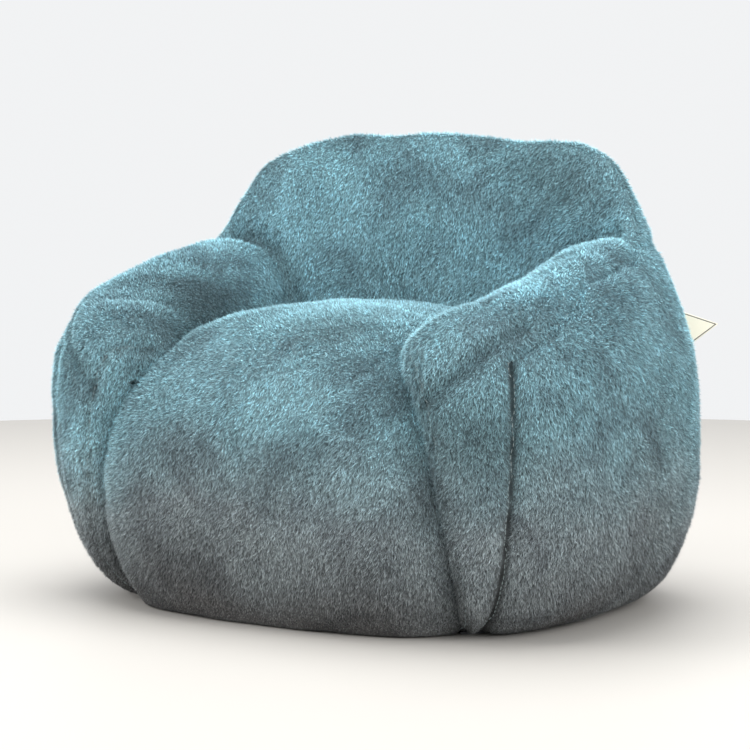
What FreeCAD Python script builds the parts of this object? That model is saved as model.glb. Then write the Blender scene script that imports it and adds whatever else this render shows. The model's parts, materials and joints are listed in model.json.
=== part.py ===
import FreeCAD, Part
import functools
import math
import os

# A bean bag armchair: one plush cover over a lining of four bead-filled cells.
# Millimetres, Z up, the front of the chair towards -Y, so +X is the sitter's left.
# The origin is on the floor, under the middle of the outline.

V = FreeCAD.Vector

# ---------------------------------------------------------------- driving dimensions
WIDTH = 860.0              # over the two arms, at their widest level
HEIGHT = 630.0             # floor to the top of the backrest
FRONT_REACH = 340.0        # origin to the foremost point of the seat
BACK_REACH = 342.0         # origin to the rearmost point of the back
CENTRE_Y = 18.0            # every upright section of the ring passes through this line
ARM_HEIGHT = 390.0         # top of an arm just behind its rounded nose
ARM_JOIN_HEIGHT = 488.0    # top of an arm where it meets the backrest
NOSE_DROP = 70.0           # how far the top falls over the nose of an arm
BULGE_HEIGHT = 246.0       # level of the widest outline, at the sides
BULGE_RISE = 48.0          # higher than that at the front, lower at the back

FOOT_HALF_WIDTH = 301.0    # outline on the floor, from the centre line of the sections
FOOT_FRONT = 300.0
FOOT_BACK = 270.0
CREST_HALF_WIDTH = 318.0   # line of the highest points of arms and backrest
CREST_FRONT = 325.0
CREST_BACK = 146.0
INNER_HALF_WIDTH = 214.0   # inner faces of arms and backrest, over the seat
INNER_FRONT = 280.0
INNER_BACK = 104.0
CREASE_HEIGHT = 318.0      # the inner faces end here, down inside the seat

SEAT_HEIGHT = 398.0        # crown of the empty seat
SEAT_HALF_WIDTH = 306.0    # seat pod at its widest level
SEAT_POD_BACK = 190.0      # origin to the pod's back, under the backrest
SEAT_POD_LEVEL = 184.0     # level of its widest outline
SEAT_POD_BELOW = 68.0      # the pod is cut flat this far above its own lowest point
SEAT_DRAW_IN = 54.0        # narrower than SEAT_HALF_WIDTH at the crown

PLUSH = 8.0                # faux fur, backing and pile together
LINING = 1.2               # spunbond of the bead cells, and the cover's inner walls
EASE = 0.5                 # room between one layer and the next
SEAM_GAP = 1.6             # between two panels along their seam
BASE_CLOTH = 3.0           # coated base cloth with its seam allowances
BASE_MARGIN = 5.5          # the plush stands this far outside the base cloth

ZIP_LENGTH = 460.0
ZIP_Y = 24.0
ZIP_SLOT = 11.0            # opening between the two halves of the base
TAPE_WIDTH = 15.0
TAPE = 0.8
TAPE_CLEARANCE = 0.4       # base cloth to tape
COIL_WIDTH = 2.0
COIL_HEIGHT = 2.0
COIL_SLIT = 1.0            # slit that the slider's post runs in
STITCH_ROOM = 0.05         # coil to its tape
STOP_LENGTH = 4.0
STOP_ROOM = 0.2
SLIDER_LENGTH = 12.0
SLIDER_WIDTH = 9.4
SLIDER_PLATE = 1.0
SLIDER_POST = 0.5
SLIDER_POST_LENGTH = 3.0
SLIDER_PLAY = 0.3
FLANGE_PLAY = 0.25         # slider flange to tape
PARK_GAP = 0.5             # closed slider to its end stop
LUG_LENGTH = 5.0           # wire lug in place of a pull, so that a child can't open it
LUG_WIDTH = 2.0
LUG_HEIGHT = 0.8
GARAGE_LENGTH = 26.0       # cloth pocket over the parked slider
GARAGE_CLOTH = 0.6
GARAGE_ROOM = 1.0          # slider to pocket
GARAGE_HEM = 9.0           # the pocket's flat hem on each tape
CHANNEL_ROOM = 0.9         # pocket and tapes to the lining above them

LABEL_ROOT = 60.0          # length sewn into the seam
LABEL_REACH = 50.0         # how far the point stands out
LABEL_DROOP = 4.5          # the point lies this far below the middle of the root
LABEL_THICK = 1.2          # two layers of woven ribbon
LABEL_BOTTOM = 327.0       # height of the root's lower end
LABEL_STANDOFF = 0.8       # root to the plush where the seam curves out most
LABEL_POINT_RADIUS = 3.0

# ---------------------------------------------------------------- seams
# Angles in degrees from the middle of the back.
BACK_FLAT = 45.0           # the backrest keeps its height this far from the middle
BACK_DROP = 84.0           # and has come down to the arms here
DROP_POWER = 2.3           # how late the backrest's ends fall
NOSE_START = 132.0         # the nose of an arm starts to fall here
TIP = 148.0                # end of the arm before it is trimmed along the seat seam
TIP_MARGIN = 10.0          # cuts reach this far past it
REAR_SEAM = 57.0           # between the back panel and the sides
SHOULDER_SEAM = 80.0       # between the backrest panel and the arm panels
CORNER_SEAM = 130.0        # between an arm's front and its side
SEAT_SEAM_FOOT = 133.5     # between seat and arm, at the floor
SEAT_SEAM_TOP = 144.5      # and below the nose
TOP_SEAM_PLACES = (112.0, 100.0, 85.0, 70.0, 58.0, 40.0)
# Heights up a section, u: 0 floor, 1 widest level, 2 crest, 3 shoulder, 4 crease.
SEAT_SEAM_TOP_U = 1.45
CORNER_SEAM_US = (0.0, 0.5, 1.0, 1.3)
SIDE_TOP_U = 1.68          # the side panel ends here, or
SIDE_TOP_LEVEL = 472.0     # at this height if it comes first
BACK_TOP_U = 1.75          # the back panel ends here

# ---------------------------------------------------------------- roundness
FRONT_POWER = 3.6          # how square an outline is, 2 is an ellipse
BACK_POWER = 2.3
FOOT_POWER = 2.9
CREST_FRONT_POWER = 3.5
CREST_BACK_POWER = 2.3
INNER_POWER = 4.0
SEAT_PLAN_POWER = 4.0
SEAT_SIDE_POWER = 2.5
SECTION_ROUND = 0.92       # quarter arcs of a section, 1 is an ellipse
BACK_LEAN = 1.7            # more for the back above its widest level, which leans inwards
FOOT_INSET = 0.6           # share of an inset that moves the foot inwards
FLOOR_INSET = 0.4          # and the share that lifts it
SHOULDER = 0.35            # an inner face turns upright at this share of its height

ARC_POINTS = 7             # points on each quarter arc of a section
RING_SPANS = 34            # spans from one section to the next, the same for every layer
SPANS_BEYOND = 2           # a layer is lofted this many spans past the cuts that end it
OUTLINE_POINTS = 48
LEVELS_ABOVE = 9           # outlines of the seat pod above and below its widest level
LEVELS_BELOW = 7
CROWN_TURN = 84.0          # the last outline of the pod, degrees up its side arc
FAR = 1500.0

# ---------------------------------------------------------------- depths of the layers
LINING_OUT = PLUSH + EASE
LINING_IN = LINING_OUT + LINING
BEADS_OUT = LINING_IN + EASE
WALL_FLOOR = BASE_CLOTH + EASE

TAPE_LOW = BASE_CLOTH + TAPE_CLEARANCE
COIL_LOW = TAPE_LOW + TAPE / 2 - COIL_HEIGHT / 2
COIL_HIGH = COIL_LOW + COIL_HEIGHT
COIL_EDGE = COIL_SLIT / 2 + COIL_WIDTH
PLATE_LOW = COIL_LOW - SLIDER_PLAY - SLIDER_PLATE
PLATE_HIGH = COIL_HIGH + SLIDER_PLAY + SLIDER_PLATE
GARAGE_HIGH = PLATE_HIGH + GARAGE_ROOM + GARAGE_CLOTH
SLIDER_X = ZIP_LENGTH / 2 - STOP_LENGTH - PARK_GAP - SLIDER_LENGTH / 2


# ---------------------------------------------------------------- helpers
def spread(first, last, count):
    return [first + (last - first) * i / count for i in range(count + 1)]


def smooth(t):
    t = min(1.0, max(0.0, t))
    return t * t * (3.0 - 2.0 * t)


def signed_power(value, power):
    return math.copysign(abs(value) ** power, value)


def spline(points):
    curve = Part.BSplineCurve()
    curve.interpolate(points)
    return curve.toShape()


def closed_wire(points):
    curve = Part.BSplineCurve()
    curve.interpolate(Points=points, PeriodicFlag=True)
    return Part.Wire(curve.toShape())


def loft(wires):
    solid = Part.makeLoft(wires, True, False)
    if solid.Volume < 0:
        solid = Part.makeLoft(wires[::-1], True, False)
    return solid


def box(low, high):
    return Part.makeBox(high[0] - low[0], high[1] - low[1], high[2] - low[2], V(*low))


def slab(points, low, high):
    face = Part.Face(closed_wire([V(p.x, p.y, low) for p in points]))
    return face.extrude(V(0, 0, high - low))


def mirrored(shape):
    return shape.mirror(V(0, 0, 0), V(1, 0, 0))


def biggest(shape):
    return max(shape.Solids, key=lambda s: s.Volume)


def beyond(point, normal):
    """Everything on one side of a plane."""
    block = Part.makeBox(FAR, FAR, FAR, V(-FAR / 2, -FAR / 2, 0))
    block.Placement = FreeCAD.Placement(point, FreeCAD.Rotation(V(0, 0, 1), normal))
    return block


# ---------------------------------------------------------------- the ring: arms, sides, back
def outline(angle, half_width, front, back, front_power, back_power):
    """Distance from the centre line to a rounded outline, angle in degrees from +X."""
    across = abs(math.cos(math.radians(angle)) / half_width)
    s = math.sin(math.radians(angle))
    reach, power = (back, back_power) if s > 0 else (front, front_power)
    return (across ** power + abs(s / reach) ** power) ** (-1.0 / power)


def at_angle(angle, radius, z):
    a = math.radians(angle)
    return V(radius * math.cos(a), CENTRE_Y + radius * math.sin(a), z)


def left(away):
    """Angle from +X of a place on the sitter's left, given from the middle of the back."""
    return 90.0 - away


def from_back(angle):
    return abs((angle - 90.0 + 180.0) % 360.0 - 180.0)


def crest_height(angle):
    away = from_back(angle)
    drop = min(max((away - BACK_FLAT) / (BACK_DROP - BACK_FLAT), 0.0), 1.0)
    height = HEIGHT + (ARM_JOIN_HEIGHT - HEIGHT) * drop ** DROP_POWER
    along = (away - BACK_DROP) / (NOSE_START - BACK_DROP)
    height += (ARM_HEIGHT - ARM_JOIN_HEIGHT) * min(max(along, 0.0), 1.0)
    nose = max(0.0, (away - NOSE_START) / (TIP - NOSE_START))
    return height - NOSE_DROP * nose ** 2


def lean(angle):
    forward = smooth((from_back(angle) - BACK_FLAT) / (CORNER_SEAM - BACK_FLAT))
    return BACK_LEAN + (SECTION_ROUND - BACK_LEAN) * forward


def ring_point(angle, u, inset=0.0):
    """A point of an upright section, u up and over it, inset into the stuffing."""
    bulge = outline(angle, WIDTH / 2, FRONT_REACH + CENTRE_Y, BACK_REACH - CENTRE_Y,
                    FRONT_POWER, BACK_POWER) - inset
    foot = outline(angle, FOOT_HALF_WIDTH, FOOT_FRONT, FOOT_BACK, FOOT_POWER, FOOT_POWER)
    foot -= inset * FOOT_INSET
    floor = inset * FLOOR_INSET
    crest = outline(angle, CREST_HALF_WIDTH, CREST_FRONT, CREST_BACK,
                    CREST_FRONT_POWER, CREST_BACK_POWER)
    inner = outline(angle, INNER_HALF_WIDTH, INNER_FRONT, INNER_BACK, INNER_POWER, INNER_POWER)
    inner += inset
    top = crest_height(angle) - inset
    level = BULGE_HEIGHT - BULGE_RISE * math.sin(math.radians(angle))
    shoulder = CREASE_HEIGHT + (top - CREASE_HEIGHT) * SHOULDER
    quarter = min(max(int(u), 0), 3)
    turn = (u - quarter) * math.pi / 2
    s, c = abs(math.sin(turn)) ** SECTION_ROUND, abs(math.cos(turn)) ** SECTION_ROUND
    if quarter == 0:
        return at_angle(angle, foot + (bulge - foot) * s, level - (level - floor) * c)
    if quarter == 1:
        leaning = abs(math.cos(turn)) ** lean(angle)
        return at_angle(angle, crest + (bulge - crest) * leaning, level + (top - level) * s)
    if quarter == 2:
        return at_angle(angle, crest - (crest - inner) * s, top - (top - shoulder) * (1 - c))
    return at_angle(angle, inner, shoulder + (CREASE_HEIGHT - shoulder) * (u - 3))


SECTION_US = spread(0.0, 4.0, 4 * ARC_POINTS)
# Every layer is lofted through sections at these same angles, so that layers stay parallel.
SECTION_ANGLES = spread(left(TIP), left(-TIP), RING_SPANS)
BEFORE_TIP = left(TIP + TIP_MARGIN)


def section_angles(first, last):
    low = sum(angle < first for angle in SECTION_ANGLES) - 1 - SPANS_BEYOND
    high = sum(angle <= last for angle in SECTION_ANGLES) + SPANS_BEYOND
    return SECTION_ANGLES[max(low, 0):high + 1]


@functools.lru_cache(maxsize=None)
def ring_solid(first, last, inset):
    """The ring between two angles, filled down to the floor."""
    wires = []
    for angle in section_angles(first, last):
        points = [ring_point(angle, u, inset) for u in SECTION_US]
        inner_foot = V(points[-1].x, points[-1].y, points[0].z)
        edges = [spline(points), Part.makeLine(points[-1], inner_foot)]
        edges.append(Part.makeLine(inner_foot, points[0]))
        wires.append(Part.Wire(edges))
    return loft(wires).common(radial_wedge(first, last))


def ring_layer(first, last, outer, inner):
    """A layer of the ring from the floor over the crest to the crease."""
    wires = []
    for angle in section_angles(first, last):
        outside = [ring_point(angle, u, outer) for u in SECTION_US]
        inside = [ring_point(angle, u, inner) for u in reversed(SECTION_US)]
        edges = [spline(outside), Part.makeLine(outside[-1], inside[0])]
        edges += [spline(inside), Part.makeLine(inside[-1], outside[0])]
        wires.append(Part.Wire(edges))
    return loft(wires).common(radial_wedge(first, last))


def outline_block(plan, grow, low, high):
    """An upright block with a rounded outline."""
    angles = spread(0.0, 360.0, OUTLINE_POINTS)[:-1]
    radii = [outline(a, *plan) + grow for a in angles]
    return slab([at_angle(a, r, low) for a, r in zip(angles, radii)], low, high)


def radial_wedge(first, last):
    """Everything between two angles round the centre line."""
    points = [V(0, CENTRE_Y, -1.0)]
    points += [at_angle(angle, FAR, -1.0) for angle in spread(first, last, 6)]
    return Part.Face(Part.makePolygon(points + points[:1])).extrude(V(0, 0, FAR))


def seat_seam_plane(shift):
    """Where the left arm ends against the seat. shift moves the plane towards the arm."""
    foot = ring_point(left(SEAT_SEAM_FOOT), 0.0)
    top = ring_point(left(SEAT_SEAM_TOP), SEAT_SEAM_TOP_U)
    outwards = at_angle(left((SEAT_SEAM_FOOT + SEAT_SEAM_TOP) / 2), 1.0, 0.0) - V(0, CENTRE_Y, 0)
    normal = (top - foot).cross(outwards).normalize()
    if normal.x < 0:
        normal = normal * -1
    return foot + normal * shift, normal


def side_region(shift):
    """What lies inside the seam round the left side panel. shift draws the seam in."""
    corner = [ring_point(left(CORNER_SEAM), u) for u in CORNER_SEAM_US]
    top = [ring_point(left(away), SIDE_TOP_U) for away in TOP_SEAM_PLACES]
    seam = [V(0, p.y + shift, p.z) for p in corner]
    seam += [V(0, p.y, min(p.z, SIDE_TOP_LEVEL) - shift) for p in top]
    seam[0].z = -1.0
    end, floor = V(0, FAR / 2, seam[-1].z), V(0, FAR / 2, -1.0)
    edges = [spline(seam), Part.makeLine(seam[-1], end)]
    edges += [Part.makeLine(end, floor), Part.makeLine(floor, seam[0])]
    block = Part.Face(Part.Wire(edges)).extrude(V(FAR, 0, 0))
    low = BULGE_HEIGHT - BULGE_RISE
    inner_plan = (INNER_HALF_WIDTH, INNER_FRONT, INNER_BACK, INNER_POWER, INNER_POWER)
    crest_plan = (CREST_HALF_WIDTH, CREST_FRONT, CREST_BACK, CREST_FRONT_POWER, CREST_BACK_POWER)
    inside = outline_block(inner_plan, 2 * PLUSH, -1.0, low)
    return block.cut(inside.fuse(outline_block(crest_plan, 0.0, low, FAR)))


def back_region(shift):
    """What lies behind the crest, up to the seam along the top of the back panel."""
    height = ring_point(left(0.0), BACK_TOP_U).z - shift
    return box((-FAR / 2, CREST_BACK + CENTRE_Y, -1.0), (FAR / 2, FAR, height))


# ---------------------------------------------------------------- the seat pod
def pod_outline(turn, inset):
    """One level of the pod: turn is -90 at its lowest point, 0 at its widest, 90 at the crown."""
    c = signed_power(math.cos(math.radians(turn)), 2 / SEAT_SIDE_POWER)
    s = signed_power(math.sin(math.radians(turn)), 2 / SEAT_SIDE_POWER)
    above, below = SEAT_HEIGHT - SEAT_POD_LEVEL - inset, SEAT_POD_LEVEL + SEAT_POD_BELOW - inset
    z = SEAT_POD_LEVEL + (above if s > 0 else below) * s
    half_width = (SEAT_HALF_WIDTH - inset - SEAT_DRAW_IN * max(s, 0.0)) * c
    middle = (SEAT_POD_BACK - FRONT_REACH) / 2
    half_depth = ((SEAT_POD_BACK + FRONT_REACH) / 2 - inset) * c
    points = []
    for i in range(OUTLINE_POINTS):
        a = 2 * math.pi * i / OUTLINE_POINTS
        x = half_width * signed_power(math.cos(a), 2 / SEAT_PLAN_POWER)
        y = middle + half_depth * signed_power(math.sin(a), 2 / SEAT_PLAN_POWER)
        points.append(V(x, y, z))
    return points


def pod_floor_turn(inset, floor):
    share = (SEAT_POD_LEVEL - floor) / (SEAT_POD_LEVEL + SEAT_POD_BELOW - inset)
    return -math.degrees(math.asin(share ** (SEAT_SIDE_POWER / 2)))


def pod_solid(inset, floor=0.0):
    turns = spread(pod_floor_turn(inset, floor), 0.0, LEVELS_BELOW)
    turns += spread(0.0, CROWN_TURN, LEVELS_ABOVE)[1:]
    return loft([closed_wire(pod_outline(t, inset)) for t in turns])


# ---------------------------------------------------------------- cover
def ring_panels():
    """Side and arm panels of the left, the backrest panel and the back panel."""
    point, normal = seat_seam_plane(SEAM_GAP / 2)
    gap = SEAM_GAP / 2
    turn = math.degrees(gap / CREST_HALF_WIDTH)
    rear, shoulder = left(REAR_SEAM), left(SHOULDER_SEAM)
    pod_room = pod_solid(-EASE)
    side = ring_layer(BEFORE_TIP, rear - turn, 0.0, PLUSH).common(side_region(gap))
    arm = ring_layer(BEFORE_TIP, shoulder - turn, 0.0, PLUSH).cut(side_region(-gap))
    arm = arm.common(beyond(point, normal)).cut(pod_room)
    sides = side_region(-gap)
    sides = sides.fuse(mirrored(sides))
    middle = radial_wedge(rear, 180.0 - rear)
    backrest = ring_layer(shoulder + turn, 180.0 - shoulder - turn, 0.0, PLUSH)
    backrest = backrest.cut(sides.cut(middle)).cut(back_region(-gap).common(middle)).cut(pod_room)
    back = ring_layer(rear + turn, 180.0 - rear - turn, 0.0, PLUSH).common(back_region(gap))
    return [biggest(panel) for panel in (side, arm, backrest, back)]


def arm_room(grow):
    """The left arm as one block, a little larger, ended at the seat seam."""
    point, normal = seat_seam_plane(-SEAM_GAP / 2)
    return ring_solid(BEFORE_TIP, left(SHOULDER_SEAM), -grow).common(beyond(point, normal))


def back_room(grow):
    return ring_solid(left(SHOULDER_SEAM), left(-SHOULDER_SEAM), -grow)


def seat_panel():
    skin = pod_solid(0.0).cut(pod_solid(PLUSH))
    arm = arm_room(EASE)
    return biggest(skin.cut(arm).cut(mirrored(arm)).cut(back_room(EASE)))


def inner_walls():
    """Plain cloth walls that carry the cover on between the seat and the ring."""
    skin = pod_solid(0.0, WALL_FLOOR).cut(pod_solid(LINING))
    shoulder = math.degrees(SEAM_GAP / INNER_HALF_WIDTH)
    side = skin.common(arm_room(-EASE))
    apart = radial_wedge(left(SHOULDER_SEAM) + shoulder, left(-SHOULDER_SEAM) - shoulder)
    back = skin.common(back_room(-EASE)).common(apart)
    return biggest(side), biggest(back)


# ---------------------------------------------------------------- lining cells and beads
def channel(grow):
    """Room over the zip inside the base, which the cells are cut out around."""
    half = (ZIP_LENGTH / 2 + CHANNEL_ROOM - grow, COIL_EDGE + TAPE_WIDTH + CHANNEL_ROOM - grow)
    top = GARAGE_HIGH + CHANNEL_ROOM - grow
    return box((-half[0], ZIP_Y - half[1], -1.0), (half[0], ZIP_Y + half[1], top))


def arm_block(depth):
    """The inside of the left arm at one depth, clear of the seat and the zip."""
    point, normal = seat_seam_plane(SEAM_GAP / 2 + depth - PLUSH)
    ends = math.degrees((depth - PLUSH) / INNER_HALF_WIDTH)
    block = ring_solid(BEFORE_TIP, left(SHOULDER_SEAM) - ends, depth)
    block = block.common(beyond(point, normal)).cut(pod_solid(PLUSH - depth, -1.0))
    return biggest(block.cut(channel(PLUSH - depth)))


def back_block(depth):
    ends = math.degrees((depth - PLUSH) / INNER_HALF_WIDTH)
    first = left(SHOULDER_SEAM) + ends
    block = ring_solid(first, 180.0 - first, depth)
    block = block.cut(pod_solid(PLUSH - depth, -1.0))
    return biggest(block.cut(channel(PLUSH - depth)))


def seat_block(depth):
    return biggest(pod_solid(depth, BASE_CLOTH + depth - PLUSH).cut(channel(PLUSH - depth)))


def cell(block):
    """Lining bag and bead filling of one cell."""
    lining = block(LINING_OUT).cut(block(LINING_IN))
    return biggest(lining), block(BEADS_OUT)


# ---------------------------------------------------------------- base and zip
def foot_slab(margin, low, high):
    """A slab under the ring and the pod, inside the outline on the floor."""
    angles = spread(0.0, 360.0, OUTLINE_POINTS)[:-1]
    middle = V(0, CENTRE_Y, 0)
    radii = [(ring_point(a, 0.0) - middle).Length - margin for a in angles]
    whole = slab([at_angle(a, r, low) for a, r in zip(angles, radii)], low, high)
    point, normal = seat_seam_plane(0.0)
    arm = whole.common(beyond(point, normal))
    inner = PLUSH + EASE
    pod = slab(pod_outline(pod_floor_turn(inner, 0.0), inner), low, high)
    return arm.fuse([mirrored(arm), pod, whole.common(radial_wedge(0.0, 180.0))]).removeSplitter()


def base_panels():
    half, top = ZIP_LENGTH / 2, BASE_CLOTH + 1
    cloth = foot_slab(BASE_MARGIN, 0.0, BASE_CLOTH)
    cloth = cloth.cut(box((-half, ZIP_Y - ZIP_SLOT / 2, -1), (half, ZIP_Y + ZIP_SLOT / 2, top)))
    cloth = cloth.cut(box((-FAR, ZIP_Y - EASE / 2, -1), (FAR, ZIP_Y + EASE / 2, top)))
    return sorted(cloth.Solids, key=lambda s: s.CenterOfMass.y)


def zip_row(side):
    """Tape and coil on one side of the zip, -1 for the front and 1 for the rear."""
    def strip(inner, outer, low, high, shorter):
        near, far = sorted((ZIP_Y + side * inner, ZIP_Y + side * outer))
        half = ZIP_LENGTH / 2 - shorter
        return box((-half, near, low), (half, far, high))

    tape = strip(COIL_EDGE + STITCH_ROOM, COIL_EDGE + TAPE_WIDTH, TAPE_LOW, TAPE_LOW + TAPE, 0.0)
    coil = strip(COIL_SLIT / 2, COIL_EDGE, COIL_LOW, COIL_HIGH, STOP_LENGTH)
    return tape, coil


def end_stops():
    stop = box((ZIP_LENGTH / 2 - STOP_LENGTH + STOP_ROOM, ZIP_Y - COIL_EDGE, COIL_LOW),
               (ZIP_LENGTH / 2 - STOP_ROOM, ZIP_Y + COIL_EDGE, COIL_HIGH))
    return Part.makeCompound([stop, mirrored(stop)])


def slider():
    """Two plates with side flanges that close round the coils, joined by a thin post."""
    x0, x1 = SLIDER_X - SLIDER_LENGTH / 2, SLIDER_X + SLIDER_LENGTH / 2
    y0, y1 = ZIP_Y - SLIDER_WIDTH / 2, ZIP_Y + SLIDER_WIDTH / 2
    flange = SLIDER_WIDTH / 2 - COIL_EDGE - SLIDER_PLAY
    lower = box((x0, y0, PLATE_LOW), (x1, y1, PLATE_LOW + SLIDER_PLATE))
    pieces = [box((x0, y0, PLATE_HIGH - SLIDER_PLATE), (x1, y1, PLATE_HIGH))]
    for a, b in ((y0, y0 + flange), (y1 - flange, y1)):
        pieces.append(box((x0, a, PLATE_LOW), (x1, b, TAPE_LOW - FLANGE_PLAY)))
        pieces.append(box((x0, a, TAPE_LOW + TAPE + FLANGE_PLAY), (x1, b, PLATE_HIGH)))
    post = SLIDER_POST / 2
    pieces.append(box((x0, ZIP_Y - post, PLATE_LOW), (x0 + SLIDER_POST_LENGTH, ZIP_Y + post, PLATE_HIGH)))
    lug = (LUG_LENGTH / 2, LUG_WIDTH / 2)
    pieces.append(box((SLIDER_X - lug[0], ZIP_Y - lug[1], PLATE_LOW - LUG_HEIGHT),
                      (SLIDER_X + lug[0], ZIP_Y + lug[1], PLATE_LOW + SLIDER_PLATE / 2)))
    return lower.fuse(pieces).removeSplitter()


def slider_pocket():
    """A folded cloth pocket inside the base, over the parked slider."""
    x0, x1 = ZIP_LENGTH / 2 - GARAGE_LENGTH, ZIP_LENGTH / 2 + GARAGE_CLOTH
    low, slim = TAPE_LOW + TAPE + STITCH_ROOM, SLIDER_WIDTH / 2 + GARAGE_ROOM
    outer = slim + GARAGE_CLOTH
    hem = box((x0, ZIP_Y - outer - GARAGE_HEM, low), (x1, ZIP_Y + outer + GARAGE_HEM, low + GARAGE_CLOTH))
    hood = box((x0, ZIP_Y - outer, low), (x1, ZIP_Y + outer, GARAGE_HIGH))
    hollow = box((x0 - 1, ZIP_Y - slim, low - 1),
                 (x1 - GARAGE_CLOTH, ZIP_Y + slim, GARAGE_HIGH - GARAGE_CLOTH))
    return hem.fuse(hood).cut(hollow).removeSplitter()


# ---------------------------------------------------------------- label
def seam_point(angle, height):
    """The outside of the cover at one angle and height, above the widest level."""
    low, high = 1.0, 2.0
    while high - low > 1e-6:
        middle = (low + high) / 2
        low, high = (middle, high) if ring_point(angle, middle).z < height else (low, middle)
    return ring_point(angle, low)


def label_root():
    """Lower and upper end of the label's sewn edge, and the way it stands out."""
    angle = left(REAR_SEAM)
    heights = [LABEL_BOTTOM + share * LABEL_ROOT for share in (0.0, 0.5, 1.0)]
    bottom, middle, top = [seam_point(angle, height) for height in heights]
    across = V(-math.sin(math.radians(angle)), math.cos(math.radians(angle)), 0)
    out = (top - bottom).normalize().cross(across)
    if out.dot(bottom) < 0:
        out = out * -1
    lift = out * ((middle - bottom).dot(out) + LABEL_STANDOFF)
    return bottom + lift, top + lift, out, across


def label():
    """A folded ribbon tab, three-cornered, that stands out of the left rear seam."""
    bottom, top, out, across = label_root()
    tip = (bottom + top) * 0.5 + out * LABEL_REACH - (top - bottom).normalize() * LABEL_DROOP
    corners = [p - across * (LABEL_THICK / 2) for p in (bottom, top, tip, bottom)]
    tab = Part.Face(Part.makePolygon(corners)).extrude(across * LABEL_THICK)
    point = [e for e in tab.Edges if e.CenterOfMass.distanceToPoint(tip) < LABEL_THICK]
    return tab.makeFillet(LABEL_POINT_RADIUS, point)


# ---------------------------------------------------------------- assembly
def build():
    nodes = {}
    side, arm, nodes["backrest_panel"], nodes["back_panel"] = ring_panels()
    nodes["seat_panel"] = seat_panel()
    side_wall, nodes["back_inner_wall"] = inner_walls()
    arm_lining, arm_beads = cell(arm_block)
    pairs = {"side_panel": side, "arm_panel": arm, "inner_wall": side_wall,
             "arm_lining": arm_lining, "arm_beads": arm_beads}
    for name, shape in pairs.items():
        nodes["left_" + name] = shape
        nodes["right_" + name] = mirrored(shape)
    nodes["back_lining"], nodes["back_beads"] = cell(back_block)
    nodes["seat_lining"], nodes["seat_beads"] = cell(seat_block)
    nodes["front_base_panel"], nodes["rear_base_panel"] = base_panels()
    nodes["front_zip_tape"], nodes["front_zip_coil"] = zip_row(-1)
    nodes["rear_zip_tape"], nodes["rear_zip_coil"] = zip_row(1)
    nodes["zip_end_stops"] = end_stops()
    nodes["zip_slider"] = slider()
    nodes["slider_pocket"] = slider_pocket()
    nodes["woven_label"] = label()
    return nodes


def main():
    os.makedirs("parts", exist_ok=True)
    for name, shape in build().items():
        shape.exportStep("parts/%s.step" % name)
        print(name, "%.0f cm3" % (shape.Volume / 1000), len(shape.Solids), shape.isValid())


if __name__ == "__main__":
    main()
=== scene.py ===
# %% [markdown]
# # A plush bean bag armchair
# The chair is one faux-fur cover stuffed with beads. It has a domed seat pod, two round arms and a
# thick backrest that rolls over the arms. Everything here is built in metres on top of the packed
# CAD frame, which gives the size, the bodies that move and the hidden insides.

# %% load the frame
import json
import math
import bpy
import numpy as np
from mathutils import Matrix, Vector, kdtree
from mathutils.bvhtree import BVHTree


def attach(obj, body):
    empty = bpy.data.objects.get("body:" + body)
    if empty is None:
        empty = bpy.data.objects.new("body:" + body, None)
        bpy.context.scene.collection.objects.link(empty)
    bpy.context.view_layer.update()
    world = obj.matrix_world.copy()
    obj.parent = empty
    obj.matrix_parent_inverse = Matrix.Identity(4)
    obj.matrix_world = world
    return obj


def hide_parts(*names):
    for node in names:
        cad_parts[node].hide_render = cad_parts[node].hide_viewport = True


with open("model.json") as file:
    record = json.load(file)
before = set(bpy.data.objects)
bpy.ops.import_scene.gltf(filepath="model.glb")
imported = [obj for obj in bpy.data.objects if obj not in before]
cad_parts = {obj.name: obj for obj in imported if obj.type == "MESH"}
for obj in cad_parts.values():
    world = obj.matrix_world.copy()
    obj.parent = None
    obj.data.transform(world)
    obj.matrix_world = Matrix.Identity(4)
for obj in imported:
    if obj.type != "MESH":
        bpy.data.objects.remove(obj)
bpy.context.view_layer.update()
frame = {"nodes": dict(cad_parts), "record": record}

scene = bpy.context.scene

# %% [markdown]
# ## Sizes
# The cover is a ring of upright sections round a line behind the seat, with a pod sitting inside
# it. Each section climbs in quarter arcs: floor, widest level, crest, shoulder, and down to the
# crease beside the seat. Working with a few named sizes keeps the shape easy to change.

# %% sizes of the ring and the pod
CENTRE_Y = 0.018
BULGE = dict(half=0.430, front=0.358, back=0.324, front_power=3.6, back_power=2.3)
FOOT = dict(half=0.301, front=0.300, back=0.270, front_power=2.9, back_power=2.9)
CREST = dict(half=0.318, front=0.325, back=0.146, front_power=3.5, back_power=2.3)
INNER = dict(half=0.214, front=0.280, back=0.104, front_power=4.0, back_power=4.0)
TOP, LOBE_END, ARM_JOIN, ARM_FRONT = 0.633, 0.588, 0.492, 0.403
BULGE_LEVEL, BULGE_RISE, CREASE_LEVEL = 0.246, 0.048, 0.318
BACK_FLAT, BACK_CREASE, NOSE_START, TIP = 45.0, 76.6, 132.0, 148.0
REAR_SEAM, CORNER_SEAM = 57.0, 130.0
SIDE_TOP_U, SIDE_TOP_LEVEL, BACK_TOP_U = 1.68, 0.472, 1.75
SECTION_ROUND, BACK_LEAN = 0.92, 1.7
REAR_SLOPE = 0.018  # the rear corners lie this much flatter than a round section,
REAR_CUT = 0.010  # and this much further in at the widest level,
REAR_FROM, REAR_TO, REAR_FADE = 20.0, 105.0, 30.0  # between these angles from the back
SLUMP, SLUMP_AT, SLUMP_WIDE = 0.017, 46.0, 27.0  # the beads have settled on the left
SHOULDER = 0.35  # how far up from the crease to the crest the inner face turns over
PILE = 0.006  # the backing lies this far under the tips of the pile
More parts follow.
